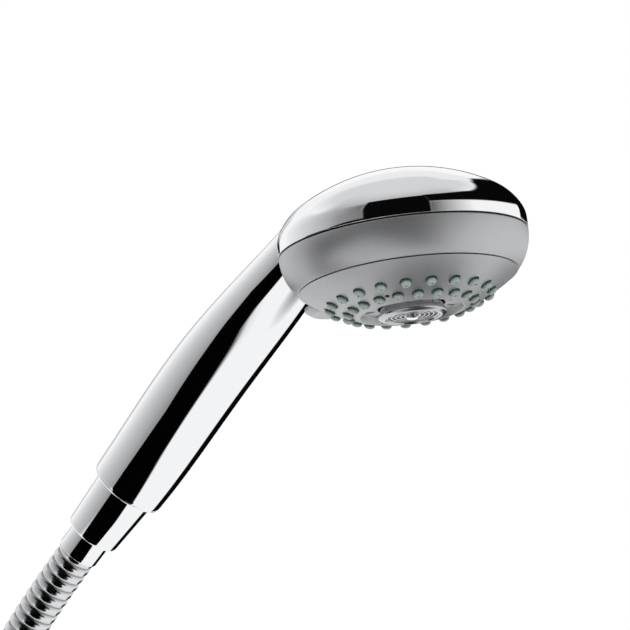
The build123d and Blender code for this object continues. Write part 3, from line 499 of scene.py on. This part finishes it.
class SHOWER_OT_skirt(Operator):
    """The grey skirt: a shallow outward arc from the seam to the parting line, with a floor inside"""

    bl_idname = "shower.skirt"
    bl_label = "Skirt"

    def execute(self, context):
        head = context.scene.shower_head.head
        wall = 2.6 * MM
        lip_round = 0.3 * MM
        floor_top = -1.35 * MM
        floor_low = -3.85 * MM
        top = np.array([head.radius, -SEAM_GAP / 2])
        low = np.array([head.rim_radius, -head.skirt_depth])
        t = np.linspace(0, 1, 28)[1:-1, None]
        out = np.array([top[1] - low[1], low[0] - top[0]])
        out = out / np.linalg.norm(out)
        side = top + (low - top) * t + out * head.skirt_bulge * 4 * t * (1 - t)
        upper = rounded_profile([(0, floor_top), (top[0] - wall, floor_top), (top[0] - wall, top[1]),
                                 (*top, lip_round), tuple(side[0])])
        lower = rounded_profile([tuple(side[-1]), (*low, lip_round), (low[0] - wall, low[1]),
                                 (low[0] - wall, floor_low), (0, floor_low)])
        profile = np.concatenate([upper[:-1], side, lower[1:]])
        skirt = turned_piece("head_skirt", profile, 192, HEAD_PLACE)
        dress(skirt, "satin_grey_plastic", "handset", "head_housing")
        return {"FINISHED"}


def face_height(radius, head):
    """The spray face's height at a radius: below its rim by a parabola that steepens outwards."""
    inward = head.rim_radius - radius
    return -FACE_RIM_DROP - FACE_SLOPE * inward + FACE_CURVE * inward ** 2


def face_tilt(radius, head):
    """The angle at which the face leans outwards, from the parabola's slope."""
    return math.atan(FACE_SLOPE - 2 * FACE_CURVE * (head.rim_radius - radius))


def nozzle_rings(head):
    """Radius and first angle of each ring of nozzles."""
    return ((31.0 * MM, 0.0), (24.4 * MM, np.pi / head.nozzles))


def holed_ring(height, count, per_side, inner, outer, hole, first, lip, wall):
    """One ring of the face cut into equal patches, each spread from its four sides to an oval hole with a
    rolled lip and a wall: the patch is the blend of its outline and the hole's oval. The hole is its
    circle, its radial half and its tangential half, and height gives the face's height at a radius."""
    half = np.pi / count
    t = np.linspace(0, 1, per_side, endpoint=False)
    turn = np.concatenate([-half + 2 * half * t, np.full(per_side, half), half - 2 * half * t,
                           np.full(per_side, -half)])
    radius = np.concatenate([np.full(per_side, outer), outer + (inner - outer) * t, np.full(per_side, inner),
                             inner + (outer - inner) * t])
    circle, long, wide = hole
    flat_x = radius * np.cos(turn)
    flat_y = radius * np.sin(turn)
    about = np.arctan2(flat_y / wide, (flat_x - circle) / long)
    share = np.linspace(0, 1, 7)[:, None]
    x = flat_x + (circle + np.cos(about) * long - flat_x) * share
    y = flat_y + (np.sin(about) * wide - flat_y) * share
    z = height(np.hypot(x, y))
    roll = np.linspace(0, np.pi / 2, 5)[1:, None]
    lip_x = circle + np.cos(about) * (long - lip * np.sin(roll))
    lip_y = np.sin(about) * (wide - lip * np.sin(roll))
    lip_z = z[-1] + lip * (1 - np.cos(roll))
    x = np.concatenate([x, lip_x, lip_x[-1:]])
    y = np.concatenate([y, lip_y, lip_y[-1:]])
    z = np.concatenate([z, lip_z, lip_z[-1:] + wall])
    angles = first + 2 * half * np.arange(count)[:, None, None]
    turned_x = x * np.cos(angles) - y * np.sin(angles)
    turned_y = x * np.sin(angles) + y * np.cos(angles)
    patches = np.stack([turned_x, turned_y, np.broadcast_to(z, turned_x.shape)], axis=-1)
    return [(patch, True) for patch in patches]


class SHOWER_OT_spray_face(Operator):
    """The turning face: a dished disc with two rings of lipped holes, a slotted recess and a selector tab"""

    bl_idname = "shower.spray_face"
    bl_label = "Spray face"

    outer_edge = 34.6 * MM
    recess = 19.8 * MM
    recess_lip = recess + 0.8 * MM

    def execute(self, context):
        head = context.scene.shower_head.head
        per_side = 12
        sides = head.nozzles * per_side
        grids = self.nozzle_holes(head, per_side) + self.rim_and_recess(head, sides)
        grids.append((self.tab(head), True))
        face = mesh_piece("spray_face_plate", grids, HEAD_PLACE)
        dress(face, "satin_grey_plastic", "selector", "spray_face")
        return {"FINISHED"}

    def nozzle_holes(self, head, per_side):
        """The dished part: two rings of round holes between the recess's lip and the outer edge."""
        between_rings = 27.7 * MM
        hole = 2.4 * MM
        lip = 0.25 * MM
        wall = 2.0 * MM

        def dish(radius):
            return face_height(radius, head)

        grids = []
        spans = ((between_rings, self.outer_edge), (self.recess_lip, between_rings))
        for (circle, first), (low, high) in zip(nozzle_rings(head), spans):
            oval = (circle, hole, hole)
            grids += holed_ring(dish, head.nozzles, per_side, low, high, oval, first, lip, wall)
        return grids

    def rim_and_recess(self, head, sides):
        """The plain rim outside the holes, and the recess inside them with its ring of oval slots."""
        rim_round = 0.25 * MM
        rim_stop = head.rim_radius - 0.4 * MM
        rim_land = head.rim_radius - 2 * MM
        radii = np.linspace(self.outer_edge, rim_stop, 14)
        rim = np.stack([radii, face_height(radii, head)], axis=-1)
        edge = rounded_profile([tuple(rim[-1]), (head.rim_radius, -FACE_RIM_DROP, rim_round),
                                (rim_land, -FACE_RIM_DROP)])
        rim = np.concatenate([rim, edge[1:]])
        lip_height = face_height(self.recess_lip, head)
        well_foot = self.recess - 0.8 * MM
        well_edge = self.recess - 1.2 * MM
        well = rounded_profile([(self.recess_lip, lip_height), (self.recess, lip_height - 0.3 * MM, 0.5 * MM),
                                (well_foot, RECESS_FLOOR, 0.35 * MM), (well_edge, RECESS_FLOOR)])
        slots = 12
        slot = (16.1 * MM, 2.1 * MM, 1.25 * MM)
        slot_lip = 0.2 * MM
        slot_wall = 2.4 * MM
        floor_inner = 13.0 * MM

        def flat(radius):
            return np.full_like(radius, RECESS_FLOOR)

        grids = [(turned_points(rim, sides), True), (turned_points(well, sides), True)]
        return grids + holed_ring(flat, slots, sides // slots, floor_inner, well_edge, slot, 0.0, slot_lip,
                                  slot_wall)

    def tab(self, head):
        """The selector tab: a round, chamfered tongue that stands out past the rim."""
        reach = 11.0 * MM
        thick = 3.2 * MM
        stand_out = 6.3 * MM
        profile = rounded_profile([(0, 0), (reach, 0, 0.4 * MM), (reach, -1.3 * MM, 0.2 * MM),
                                   (reach - 2.6 * MM, -thick, 0.6 * MM), (0, -thick)])
        return turned_points(profile, 96) + np.array([reach - head.rim_radius - stand_out, 0, -FACE_RIM_DROP])


class SHOWER_OT_face_dot_and_shade_ring(Operator):
    """The face's index dot, and a black ring behind its slots as painted shade in them"""

    bl_idname = "shower.face_rubber"
    # The slot seal of this label is a black ring of painted shade behind the slots.
    bl_label = "Index dot and slot seal"

    def execute(self, context):
        head = context.scene.shower_head.head
        dot_radius = 0.95 * MM
        dot_proud = -0.05 * MM
        dot_root = 0.6 * MM
        dot_circle = 25.5 * MM
        dot_turn = math.radians(-72.0)
        spot = rounded_profile([(0, dot_proud), (dot_radius, dot_proud, 0.1 * MM), (dot_radius, dot_root),
                                (0, dot_root)], 4)
        out = Matrix.Translation((dot_circle, 0, face_height(dot_circle, head)))
        lean = Matrix.Rotation(-face_tilt(dot_circle, head), 4, "Y")
        place = Matrix.Rotation(dot_turn, 4, "Z") @ out @ lean
        dot = turned_piece("index_dot", spot, 32, HEAD_PLACE @ place)
        dress(dot, "black_rubber", "selector")
        # Painted shade: a black ring behind the slots, so that they look dark deep inside.
        inner = 13.4 * MM
        outer = 18.4 * MM
        front = RECESS_FLOOR + 1.5 * MM
        back = RECESS_FLOOR + 2.1 * MM
        shade_ring_profile = rounded_profile([(inner, front), (outer, front), (outer, back), (inner, back), (inner, front)])
        ring = turned_piece("slot_shade_ring", shade_ring_profile, 96, HEAD_PLACE)
        dress(ring, "black_rubber", "selector")
        return {"FINISHED"}


class SHOWER_OT_nozzles(Operator):
    """The soft nozzles: a bored bead's profile turned, leaned square to the face and repeated on two rings"""

    bl_idname = "shower.nozzles"
    bl_label = "Nozzles"

    def execute(self, context):
        head = context.scene.shower_head.head
        sides = 28
        radius = 2.1 * MM
        root = 1.2 * MM
        bead_foot = -0.3 * MM
        bead_rise = 1.5 * MM
        bore = 0.4 * MM
        bore_end = 0.35 * MM
        bore_floor = -0.4 * MM
        tip = -1.75 * MM
        arc = np.linspace(0, np.pi / 2, 12)[:-2]
        bead = np.stack([radius * np.cos(arc), bead_foot - bead_rise * np.sin(arc)], axis=-1)
        profile = np.concatenate([[(0, root), (radius, root)], bead,
                                  [(bore, tip), (bore_end, bore_floor), (0, bore_floor)]])
        # From dark root and bore to pale tip: partly the silicone's thickness, partly painted shade at the
        # root and in the bore and painted light at the tip.
        thinness_and_painted_light = np.interp(profile[:, 1], [-1.7 * MM, -1.1 * MM, bore_floor], [1.0, 0.7, 0.0])
        shape = turned_points(profile, sides)
        grids = []
        for circle, first in nozzle_rings(head):
            lean = face_tilt(circle, head)
            x = shape[..., 0] * math.cos(lean) - shape[..., 2] * math.sin(lean) + circle
            z = shape[..., 0] * math.sin(lean) + shape[..., 2] * math.cos(lean) + face_height(circle, head)
            angles = first + 2 * np.pi / head.nozzles * np.arange(head.nozzles)[:, None, None]
            ring = np.stack([x * np.cos(angles) - shape[..., 1] * np.sin(angles),
                             x * np.sin(angles) + shape[..., 1] * np.cos(angles),
                             np.broadcast_to(z, (head.nozzles, *z.shape))], axis=-1)
            grids += [(copy, True) for copy in ring]
        shades = np.tile(np.repeat(thinness_and_painted_light, sides), len(grids))
        nozzles = mesh_piece("nozzle_cups", grids, HEAD_PLACE, shade=("thinness_and_painted_light", shades))
        dress(nozzles, "nozzle_silicone", "selector", "nozzle_mat")
        return {"FINISHED"}


class SHOWER_OT_centre(Operator):
    """The raised centre disc with its ring grooves, and the metal button in its middle"""

    bl_idname = "shower.centre"
    bl_label = "Centre disc and button"

    def execute(self, context):
        sunk = JET_FACE + 0.8 * MM
        groove_floor = JET_FACE + 1.9 * MM
        socket_floor = JET_FACE + 2.2 * MM
        flange_back = JET_FACE + 2.4 * MM
        neck_back = JET_FACE + 4.6 * MM
        flange = 13.2 * MM
        neck = 12.2 * MM
        corners = [(0, socket_floor), (2.2 * MM, socket_floor), (2.4 * MM, sunk, 0.2 * MM)]
        for groove in (3.9 * MM, 5.6 * MM, 7.3 * MM, 9.0 * MM):
            corners += [(groove - 0.55 * MM, sunk, 0.12 * MM), (groove - 0.45 * MM, groove_floor, 0.15 * MM),
                        (groove + 0.45 * MM, groove_floor, 0.15 * MM), (groove + 0.55 * MM, sunk, 0.12 * MM)]
        corners += [(10.3 * MM, sunk, 0.2 * MM), (10.6 * MM, JET_FACE, 0.2 * MM),
                    (11.4 * MM, JET_FACE, 0.4 * MM), (flange, JET_FACE + 0.9 * MM, 0.5 * MM),
                    (flange, flange_back, 0.3 * MM), (neck, flange_back), (neck, neck_back), (0, neck_back)]
        disc = turned_piece("jet_disc_plate", rounded_profile(corners, 5), 128, HEAD_PLACE)
        dress(disc, "satin_grey_plastic", "selector", "jet_disc")
        disc.data.materials[0] = polished_lacquer()
        top = JET_FACE - 0.5 * MM
        stem = 1.5 * MM
        button = rounded_profile([(0, top), (2.0 * MM, top, 0.5 * MM), (2.6 * MM, JET_FACE, 0.15 * MM),
                                  (stem, JET_FACE), (stem, socket_floor), (0, socket_floor)], 5)
        cap = turned_piece("centre_button", button, 64, HEAD_PLACE)
        dress(cap, "chrome_plate", "selector", "centre_cap")
        return {"FINISHED"}


class SHOWER_OT_handle(Operator):
    """The chrome handle: round sections on a bowed line, swelling by a parabola each side of the belly,
    rounded at the foot and closed by a ball at the neck"""

    bl_idname = "shower.handle"
    bl_label = "Handle"

    def execute(self, context):
        grip = context.scene.shower_head.handle
        station = np.linspace(0, grip.length, 160)
        below = np.clip((grip.belly_place - station) / grip.belly_place, 0, None)
        above = np.clip((station - grip.belly_place) / (grip.length - grip.belly_place), 0, None)
        radius = (grip.belly_radius - (grip.belly_radius - grip.foot_radius) * below ** 2
                  - (grip.belly_radius - grip.neck_radius) * above ** 2)
        mouth = 10.6 * MM
        lip = 0.9 * MM
        line = 0.12 * MM
        lip_turn = np.linspace(0, np.pi / 2, 8)
        foot_station = np.append(lip * (1 - np.cos(lip_turn)), lip + line * np.array([1, 2]))
        foot_radius = np.append(grip.foot_radius - lip * (1 - np.sin(lip_turn)),
                                grip.foot_radius - line * np.array([1.2, 0]))
        above_foot = station > lip + 2 * line
        ball = np.linspace(0, np.pi / 2, 24)[1:]
        all_stations = np.concatenate([[0, 0], foot_station, station[above_foot],
                                       grip.length + grip.neck_radius * np.sin(ball)])
        all_radii = np.concatenate([[0, mouth], foot_radius, radius[above_foot],
                                    grip.neck_radius * np.cos(ball)])
        bow = grip.bow * np.sin(np.pi * np.clip(all_stations / grip.length, 0, 1)) ** 2
        points = turned_points(np.stack([all_radii, all_stations + grip.foot], axis=-1), 128)
        points[:, :, 0] += bow[:, None]
        handle = mesh_piece("handle_grip", [(points, True)], GRIP_PLACE)
        dress(handle, "chrome_plate", "handset", "handle_shell")
        return {"FINISHED"}


class SHOWER_OT_fittings(Operator):
    """The cone nut and the two collars, turned from rounded profiles"""

    bl_idname = "shower.fittings"
    bl_label = "Nut and collars"

    def execute(self, context):
        half = 11.8 * MM
        web_bore = 6.25 * MM
        web_low = -4.05 * MM
        web_top = -1.25 * MM
        low_bore = 8.8 * MM
        thread_bore = 10.55 * MM
        cone = rounded_profile([(web_bore, web_low), (low_bore, web_low), (low_bore, -half),
                                (10.6 * MM, -half, 1.3 * MM), (11.95 * MM, half, 0.35 * MM),
                                (thread_bore, half), (thread_bore, web_top), (web_bore, web_top),
                                (web_bore, web_low)])
        nut = turned_piece("cone_nut_shell", cone, 128, GRIP_PLACE)
        dress(nut, "chrome_plate", "cone_nut", "cone_nut")
        bore = 6.05 * MM
        outside = 8.2 * MM
        socket = 7.72 * MM
        top = -4.3 * MM
        socket_top = -16 * MM
        foot = -21.6 * MM
        collar = rounded_profile([(bore, top), (outside, top, 0.3 * MM), (outside, foot, 0.4 * MM),
                                  (socket, foot), (socket, socket_top), (bore, socket_top), (bore, top)])
        turned_down = Matrix.Translation(joints["wall_nut_spin"]["pos_m"]) @ Matrix.Rotation(math.pi, 4, "X")
        first = turned_piece("hose_collar", collar, 96, GRIP_PLACE)
        dress(first, "chrome_plate", "handset", "hose_ferrule")
        last = turned_piece("wall_collar", collar, 96, turned_down)
        dress(last, "chrome_plate", "handset", "wall_ferrule")
        return {"FINISHED"}


def hose_route(hose):
    """The hose's line as control points: out of the collar, drooping, then an upright coil whose points
    stand just outside its turns, so that the smooth line runs at the coil's radius. The turns step aside
    evenly, and the last quarter of the coil runs out further to the wall end."""
    lead = [(-13.2018, 0, -9.0395), (-70.9598, 0, -48.5872), (-104.5396, 0, -112.277),
            (-104.5396, 0, -178.277)]
    wall_end = (-104.5396, 42.2, -208.777)
    coil_width = 33.2 * MM
    run_out = 9.0 * MM
    per_turn = 16
    points = [Vector(place) * MM for place in lead]
    reach = hose.coil_radius / math.cos(math.pi / per_turn)
    centre = Vector((points[-1].x + hose.coil_radius, 0, points[-1].z - 2 * hose.radius))
    count = per_turn * hose.turns
    for n in range(count):
        share = (n + 0.5) / count
        angle = math.pi + 2 * math.pi * hose.turns * share
        aside = coil_width * share + run_out * max(0, 4 * share - 3)
        points.append(centre + Vector((reach * math.cos(angle), aside, reach * math.sin(angle))))
    points.append(Vector(wall_end) * MM)
    return points


def smooth_line(points):
    """Points read along the quadratic NURBS spline that a route's control points make."""
    curve = bpy.data.curves.new("hose_line", "CURVE")
    curve.dimensions = "3D"
    spline = curve.splines.new("NURBS")
    spline.points.add(len(points) - 1)
    spline.points.foreach_set("co", np.array([(*place, 1.0) for place in points]).ravel())
    spline.order_u = 3
    spline.use_endpoint_u = True
    spline.resolution_u = 24
    line = bpy.data.objects.new("hose_line", curve)
    bpy.context.scene.collection.objects.link(line)
    bpy.context.view_layer.update()
    mesh = bpy.data.meshes.new_from_object(line)
    places = np.empty(len(mesh.vertices) * 3)
    mesh.vertices.foreach_get("co", places)
    bpy.data.objects.remove(line)
    bpy.data.curves.remove(curve)
    bpy.data.meshes.remove(mesh)
    return places.reshape(-1, 3)


class SHOWER_OT_hose(Operator):
    """The wound metal hose: a rib profile carried along the hose's smooth line, one rib to each pitch, each
    rib a fourth-power crown. Mirrors show neither the hose nor its wall end, so the chrome stays clean"""

    bl_idname = "shower.hose"
    bl_label = "Hose"

    def execute(self, context):
        hose = context.scene.shower_head.hose
        sides = 32
        line = smooth_line(hose_route(hose))
        along = np.concatenate([[0], np.cumsum(np.linalg.norm(np.diff(line, axis=0), axis=1))])
        ribs = round(along[-1] / hose.pitch)
        pitch = along[-1] / ribs
        share = np.array([0.0, 0.06, 0.14, 0.28, 0.5, 0.72, 0.86, 0.94])
        place = np.append((np.arange(ribs)[:, None] + share).ravel() * pitch, along[-1])
        crown = np.append(np.tile(1 - np.abs(2 * share - 1) ** 4, ribs), 0.0)
        centre = np.stack([np.interp(place, along, line[:, n]) for n in range(3)], axis=-1)
        way = np.gradient(centre, axis=0)
        way /= np.linalg.norm(way, axis=1)[:, None]
        side = np.array([0, 1.0, 0]) - way * way[:, 1:2]
        side /= np.linalg.norm(side, axis=1)[:, None]
        up = np.cross(way, side)
        turn = np.linspace(0, 2 * np.pi, sides, endpoint=False)
        radius = hose.radius - hose.valley * (1 - crown)
        ring = side[:, None] * np.cos(turn)[None, :, None] + up[:, None] * np.sin(turn)[None, :, None]
        tube = centre[:, None] + ring * radius[:, None, None]
        ends = np.repeat(centre[[0, -1], None], sides, axis=1)
        tube = np.concatenate([ends[:1], tube, ends[1:]])
        # The rib crowns' share, which the hose's finish turns into painted shade in the valleys.
        heights = np.repeat(np.concatenate([[0.0], crown, [0.0]]), sides)
        wrap = mesh_piece("hose_wrap", [(tube, True)], Matrix.Identity(4), sharp=60.0, shade=("rib", heights))
        dress(wrap, "chrome_hose_wrap", "handset", "hose_lead", "hose_coil")
        tie = bpy.data.objects["hose_tie_strap"]
        collar = bpy.data.objects["wall_collar"]
        nodes = frame["nodes"]
        carried = [nodes[name] for name in ("lead_liner", "coil_liner", "wall_nut", "wall_insert")]
        for piece in (wrap, tie, collar, *carried):
            piece.visible_glossy = False
        return {"FINISHED"}


class SHOWER_OT_tie(Operator):
    """The strap round the coil's strands: a flat band with thinned edges, carried round a long slot"""

    bl_idname = "shower.tie"
    bl_label = "Coil tie"

    def execute(self, context):
        low, high = (np.array(corner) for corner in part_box("hose_tie"))
        middle = (low + high) / 2
        half = (high - low) / 2
        wall = 1.4 * MM
        steepness = 40
        straight = half[1] - half[0]
        turn = np.linspace(0, 2 * np.pi, 159, endpoint=False)
        shift = straight * np.clip(np.sin(turn) * steepness, -1, 1)
        height = half[2] * np.array([-1, -0.98, -0.9, 0.9, 0.98, 1])
        depth = half[0] - wall + wall * np.array([0, 0.5, 1, 1, 0.5, 0])
        x = depth[:, None] * np.cos(turn)
        y = depth[:, None] * np.sin(turn) + shift
        z = np.broadcast_to(height[:, None], x.shape)
        points = np.stack([x, y, z], axis=-1) + middle
        points = np.concatenate([points, points[:1]])
        strap = mesh_piece("hose_tie_strap", [(points, True)], Matrix.Identity(4))
        dress(strap, "tie_strap", "handset", "hose_tie")
        return {"FINISHED"}


class SHOWER_OT_carried_nodes(Operator):
    """Finishes for the CAD pieces that show as they are"""

    bl_idname = "shower.carried_nodes"
    bl_label = "Carried-over pieces"

    def execute(self, context):
        slots = {part["node"]: part["material_slot"] for part in frame["record"]["subparts"]}
        for name, node in frame["nodes"].items():
            node.data.materials.clear()
            node.data.materials.append(finish_of(slots[name]))
        return {"FINISHED"}


# Cards and flags round the object, in degrees of azimuth and height: left, right, low, high, the tone at the
# left and at the right, the softness of the edges and how far the upright edges lean. Later ones cover
# earlier ones.
STUDIO_CARDS = (
    (-190, 190, 52, 120, 0.72, 0.72, 10, 0),
    (-50, 120, 30, 62, 0.50, 0.50, 18, 0),
    (-100, 6, -14, 42, 1.0, 0.14, 6, 0),
    (-24, 6, -16, 19, 0.32, 0.20, 8, 0),
    (66, 112, -20, 19, 0.08, 1.0, 3, 0),
    (4, 67, -29, 48, 0.002, 0.002, 1, 0),
    (22, 84, -50, -26, 0.002, 0.002, 2, 0),
    (36, 95, -58, -46, 0.002, 0.002, 2, 0),
    (66, 183, 19, 50, 0.002, 0.002, 1.5, 0),
    (-260, -130.2, 11, 50, 0.002, 0.002, 1.5, 0.79),
    (-55, -15, 38, 62, 0.90, 0.90, 4, 2.5),
    (-160, -138, -29, 12, 0.002, 0.002, 1.5, -0.81),
    (-150, -118, 11, 22, 0.02, 0.02, 1.5, 0),
    (-36, -21, -60, -12, 0.35, 0.25, 6, 0.533),
    (-132, -114, 16, 29, 0.66, 0.66, 3, 0),
)


class SHOWER_OT_studio(Operator):
    """The white studio with black flags, a pale floor, soft lamps and the camera"""

    bl_idname = "shower.studio"
    bl_label = "Studio"

    def execute(self, context):
        scene = context.scene
        studio = scene.shower_head.studio
        scene.view_settings.view_transform = "Standard"
        self.build_camera(scene, studio)
        self.build_world(scene)
        self.build_floor(studio)
        self.build_flags()
        self.build_lamps(scene)
        return {"FINISHED"}

    def build_camera(self, scene, studio):
        """A long lens below the head's level, leaning right, aimed where the picture's middle is."""
        sensor = 36
        flat = math.cos(studio.elevation)
        back = Vector((math.sin(studio.azimuth) * flat, -math.cos(studio.azimuth) * flat,
                       math.sin(studio.elevation)))
        level = Vector((math.cos(studio.azimuth), math.sin(studio.azimuth), 0))
        upright = back.cross(level)
        right = level * math.cos(studio.roll) - upright * math.sin(studio.roll)
        up = upright * math.cos(studio.roll) + level * math.sin(studio.roll)
        pixel = studio.view_width / PICTURE_SIDE
        aside = (PICTURE_SIDE / 2 - HEAD_PIXEL[0]) * pixel
        below = (PICTURE_SIDE / 2 - HEAD_PIXEL[1]) * pixel
        aim = HEAD_PLACE.translation + right * aside - up * below
        camera = bpy.data.cameras.new("camera")
        camera.sensor_width = sensor
        camera.lens = sensor * studio.distance / studio.view_width
        body = bpy.data.objects.new("camera", camera)
        spot = aim + back * studio.distance
        body.matrix_world = Matrix(((right.x, up.x, back.x, spot.x), (right.y, up.y, back.y, spot.y),
                                    (right.z, up.z, back.z, spot.z), (0, 0, 0, 1)))
        scene.collection.objects.link(body)
        scene.camera = body

    def build_world(self, scene):
        """White to the camera and through clear pieces, an even grey to matt surfaces, and to mirrors the
        cards and flags of a product studio."""
        even_grey = 0.62
        world = bpy.data.worlds.new("white_studio")
        scene.world = world
        world.use_nodes = True
        tree = world.node_tree
        tree.nodes.clear()
        way = add_node(tree, "ShaderNodeTexCoord").outputs["Generated"]
        parts = add_node(tree, "ShaderNodeSeparateXYZ", {"Vector": way}).outputs
        azimuth = calculate(tree, "ARCTAN2", parts["X"], calculate(tree, "MULTIPLY", parts["Y"], -1.0))
        height = calculate(tree, "ARCSINE", parts["Z"])
        tone = 1.0
        for card in STUDIO_CARDS:
            tone = self.hang_card(tree, tone, azimuth, height, *card)
        path = add_node(tree, "ShaderNodeLightPath").outputs
        lit = blend(tree, path["Is Glossy Ray"], even_grey, tone)
        straight = calculate(tree, "MAXIMUM", path["Is Camera Ray"], path["Is Transmission Ray"])
        strength = blend(tree, straight, lit, 1.0)
        shader = add_node(tree, "ShaderNodeBackground", {"Color": linear("#FFFFFF"), "Strength": strength})
        add_node(tree, "ShaderNodeOutputWorld", {"Surface": shader.outputs["Background"]})

    def hang_card(self, tree, tone, azimuth, height, left, right, low, high, first, last, soft, lean):
        """The tone with one card over it: the card fills a patch of directions between two azimuths, which
        lean with the height, and two heights, and fades from its first tone at the left to its last at the
        right."""
        across = calculate(tree, "MULTIPLY_ADD", height, lean, azimuth)
        mask = 1.0
        edges = (across, left, 1), (across, right, -1), (height, low, 1), (height, high, -1)
        for value, edge, way in edges:
            start = math.radians(edge - soft * way)
            end = math.radians(edge + soft * way)
            step = add_node(tree, "ShaderNodeMapRange", {"Value": value, "From Min": start, "From Max": end},
                            interpolation_type="SMOOTHSTEP")
            mask = calculate(tree, "MULTIPLY", step.outputs["Result"], mask)
        fade = add_node(tree, "ShaderNodeMapRange",
                        {"Value": across, "From Min": math.radians(left), "From Max": math.radians(right),
                         "To Min": first, "To Max": last})
        return blend(tree, mask, tone, fade.outputs["Result"])

    def build_floor(self, studio):
        """A wide round floor of pale matt card. Its faces look down and are clear from that side, so that low
        views aren't shut out, and the camera sees its upper side lifted towards white."""
        reach = 5.0
        camera_lift = 0.25
        disc = np.array([(0, studio.floor), (reach, studio.floor)])
        floor = turned_piece("studio_floor", disc, 96, Matrix.Identity(4))
        constants = {"Roughness": 0.9, "Emission Color": linear("#FFFFFF")}
        material, tree, shader, where = new_material("pale_card", constants)
        paint(tree, shader, noise(tree, where, 4 * MM, 3.0), linear("#EAEAEA"), colours().floor)
        upper_side = add_node(tree, "ShaderNodeNewGeometry").outputs["Backfacing"]
        tree.links.new(upper_side, shader.inputs["Alpha"])
        seen = add_node(tree, "ShaderNodeLightPath").outputs["Is Camera Ray"]
        lift = calculate(tree, "MULTIPLY", seen, camera_lift)
        tree.links.new(lift, shader.inputs["Emission Strength"])
        floor.data.materials.append(material)
        floor.visible_glossy = False

    def hang_velvet(self, name, sheet, cover, place):
        """A black velvet card near the object, seen only by mirrors, which thins out where cover falls."""
        flag = mesh_piece(name, [sheet], place, shade=("cover", cover))
        constants = {"Roughness": 1.0, "Specular IOR Level": 0.0}
        material, tree, shader, where = new_material(name + "_velvet", constants)
        paint(tree, shader, noise(tree, where, 2 * MM, 2.0), linear("#030303"), linear("#060606"))
        tree.links.new(attribute(tree, "cover"), shader.inputs["Alpha"])
        flag.data.materials.append(material)
        flag.visible_camera = False
        flag.visible_diffuse = False
        flag.visible_transmission = False
        flag.visible_shadow = False

    def build_flags(self):
        """One card stands before the handle, between a slanting left edge and a right one that thins out,
        and a round one lies under the spray face."""
        height = np.array([0.080, 0.060, 0.040, 0.006, -0.012, -0.050, -0.110, -0.180, -0.700])
        left = np.array([0.046, 0.033, 0.027, 0.014, -0.020, -0.060, -0.150, -0.250, -0.900])
        right = np.array([0.190, 0.175, 0.165, 0.094, 0.090, 0.095, 0.096, 0.084, 0.090])
        away = np.full_like(height, -0.112)
        thinning = right - np.linspace(0.006, 0.014, len(height))
        sheet = np.stack([np.stack([edge, away, height], axis=-1) for edge in (left, thinning, right)])
        cover = [1.0, 1.0, 0.0]
        self.hang_velvet("handle_flag", (sheet, False), np.repeat(cover, len(height)), Matrix.Identity(4))
        sides = 48
        disc = turned_points(np.array([(1 * MM, 0.0), (26 * MM, 0.0), (64 * MM, 0.0)]), sides)
        under_face = HEAD_PLACE @ Matrix.Translation((16 * MM, 8 * MM, -95 * MM))
        self.hang_velvet("face_flag", (disc, True), np.repeat(cover, sides), under_face)

    def build_lamps(self, scene):
        """Two large soft lamps, one from the upper left, one from the right."""
        target = Vector((0.1, 0, 0.05))
        for name, spot, size, power in (("key_lamp", (-0.6, -1.2, 1.0), 1.0, 9.0),
                                        ("side_lamp", (1.6, -0.4, 0.5), 0.9, 6.0)):
            lamp = bpy.data.lights.new(name, "AREA")
            lamp.shape = "DISK"
            lamp.size = size
            lamp.energy = power
            holder = bpy.data.objects.new(name, lamp)
            aim = (target - Vector(spot)).to_track_quat("-Z", "Y")
            holder.matrix_world = Matrix.Translation(spot) @ aim.to_matrix().to_4x4()
            holder.visible_glossy = False
            scene.collection.objects.link(holder)


class SHOWER_PT_panel(Panel):
    """Lists the steps that build the shower head"""

    bl_idname = "SHOWER_PT_panel"
    bl_label = "Shower head"
    bl_space_type = "VIEW_3D"
    bl_region_type = "UI"
    bl_category = "Shower head"

    def draw(self, context):
        for step in STEPS:
            self.layout.operator(step.bl_idname)


STEPS = (
    SHOWER_OT_carried_nodes,
    SHOWER_OT_dome,
    SHOWER_OT_skirt,
    SHOWER_OT_spray_face,
    SHOWER_OT_face_dot_and_shade_ring,
    SHOWER_OT_nozzles,
    SHOWER_OT_centre,
    SHOWER_OT_handle,
    SHOWER_OT_fittings,
    SHOWER_OT_tie,
    SHOWER_OT_hose,
    SHOWER_OT_studio,
)
SETTINGS = (HeadSizes, HandleSizes, HoseSizes, FinishColours, StudioSettings, ShowerHead)
CLASSES = (*SETTINGS, *STEPS, SHOWER_PT_panel)


def register():
    """Adds the classes and the settings to Blender."""
    for item in CLASSES:
        bpy.utils.register_class(item)
    bpy.types.Scene.shower_head = PointerProperty(type=ShowerHead)


def unregister():
    """Takes the classes and the settings out again."""
    del bpy.types.Scene.shower_head
    for item in reversed(CLASSES):
        bpy.utils.unregister_class(item)


def main():
    """Builds every piece and the stage."""
    register()
    bpy.ops.shower.carried_nodes()
    bpy.ops.shower.dome()
    bpy.ops.shower.skirt()
    bpy.ops.shower.spray_face()
    bpy.ops.shower.face_rubber()
    bpy.ops.shower.nozzles()
    bpy.ops.shower.centre()
    bpy.ops.shower.handle()
    bpy.ops.shower.fittings()
    bpy.ops.shower.tie()
    bpy.ops.shower.hose()
    bpy.ops.shower.studio()


if __name__ == "__main__":
    main()
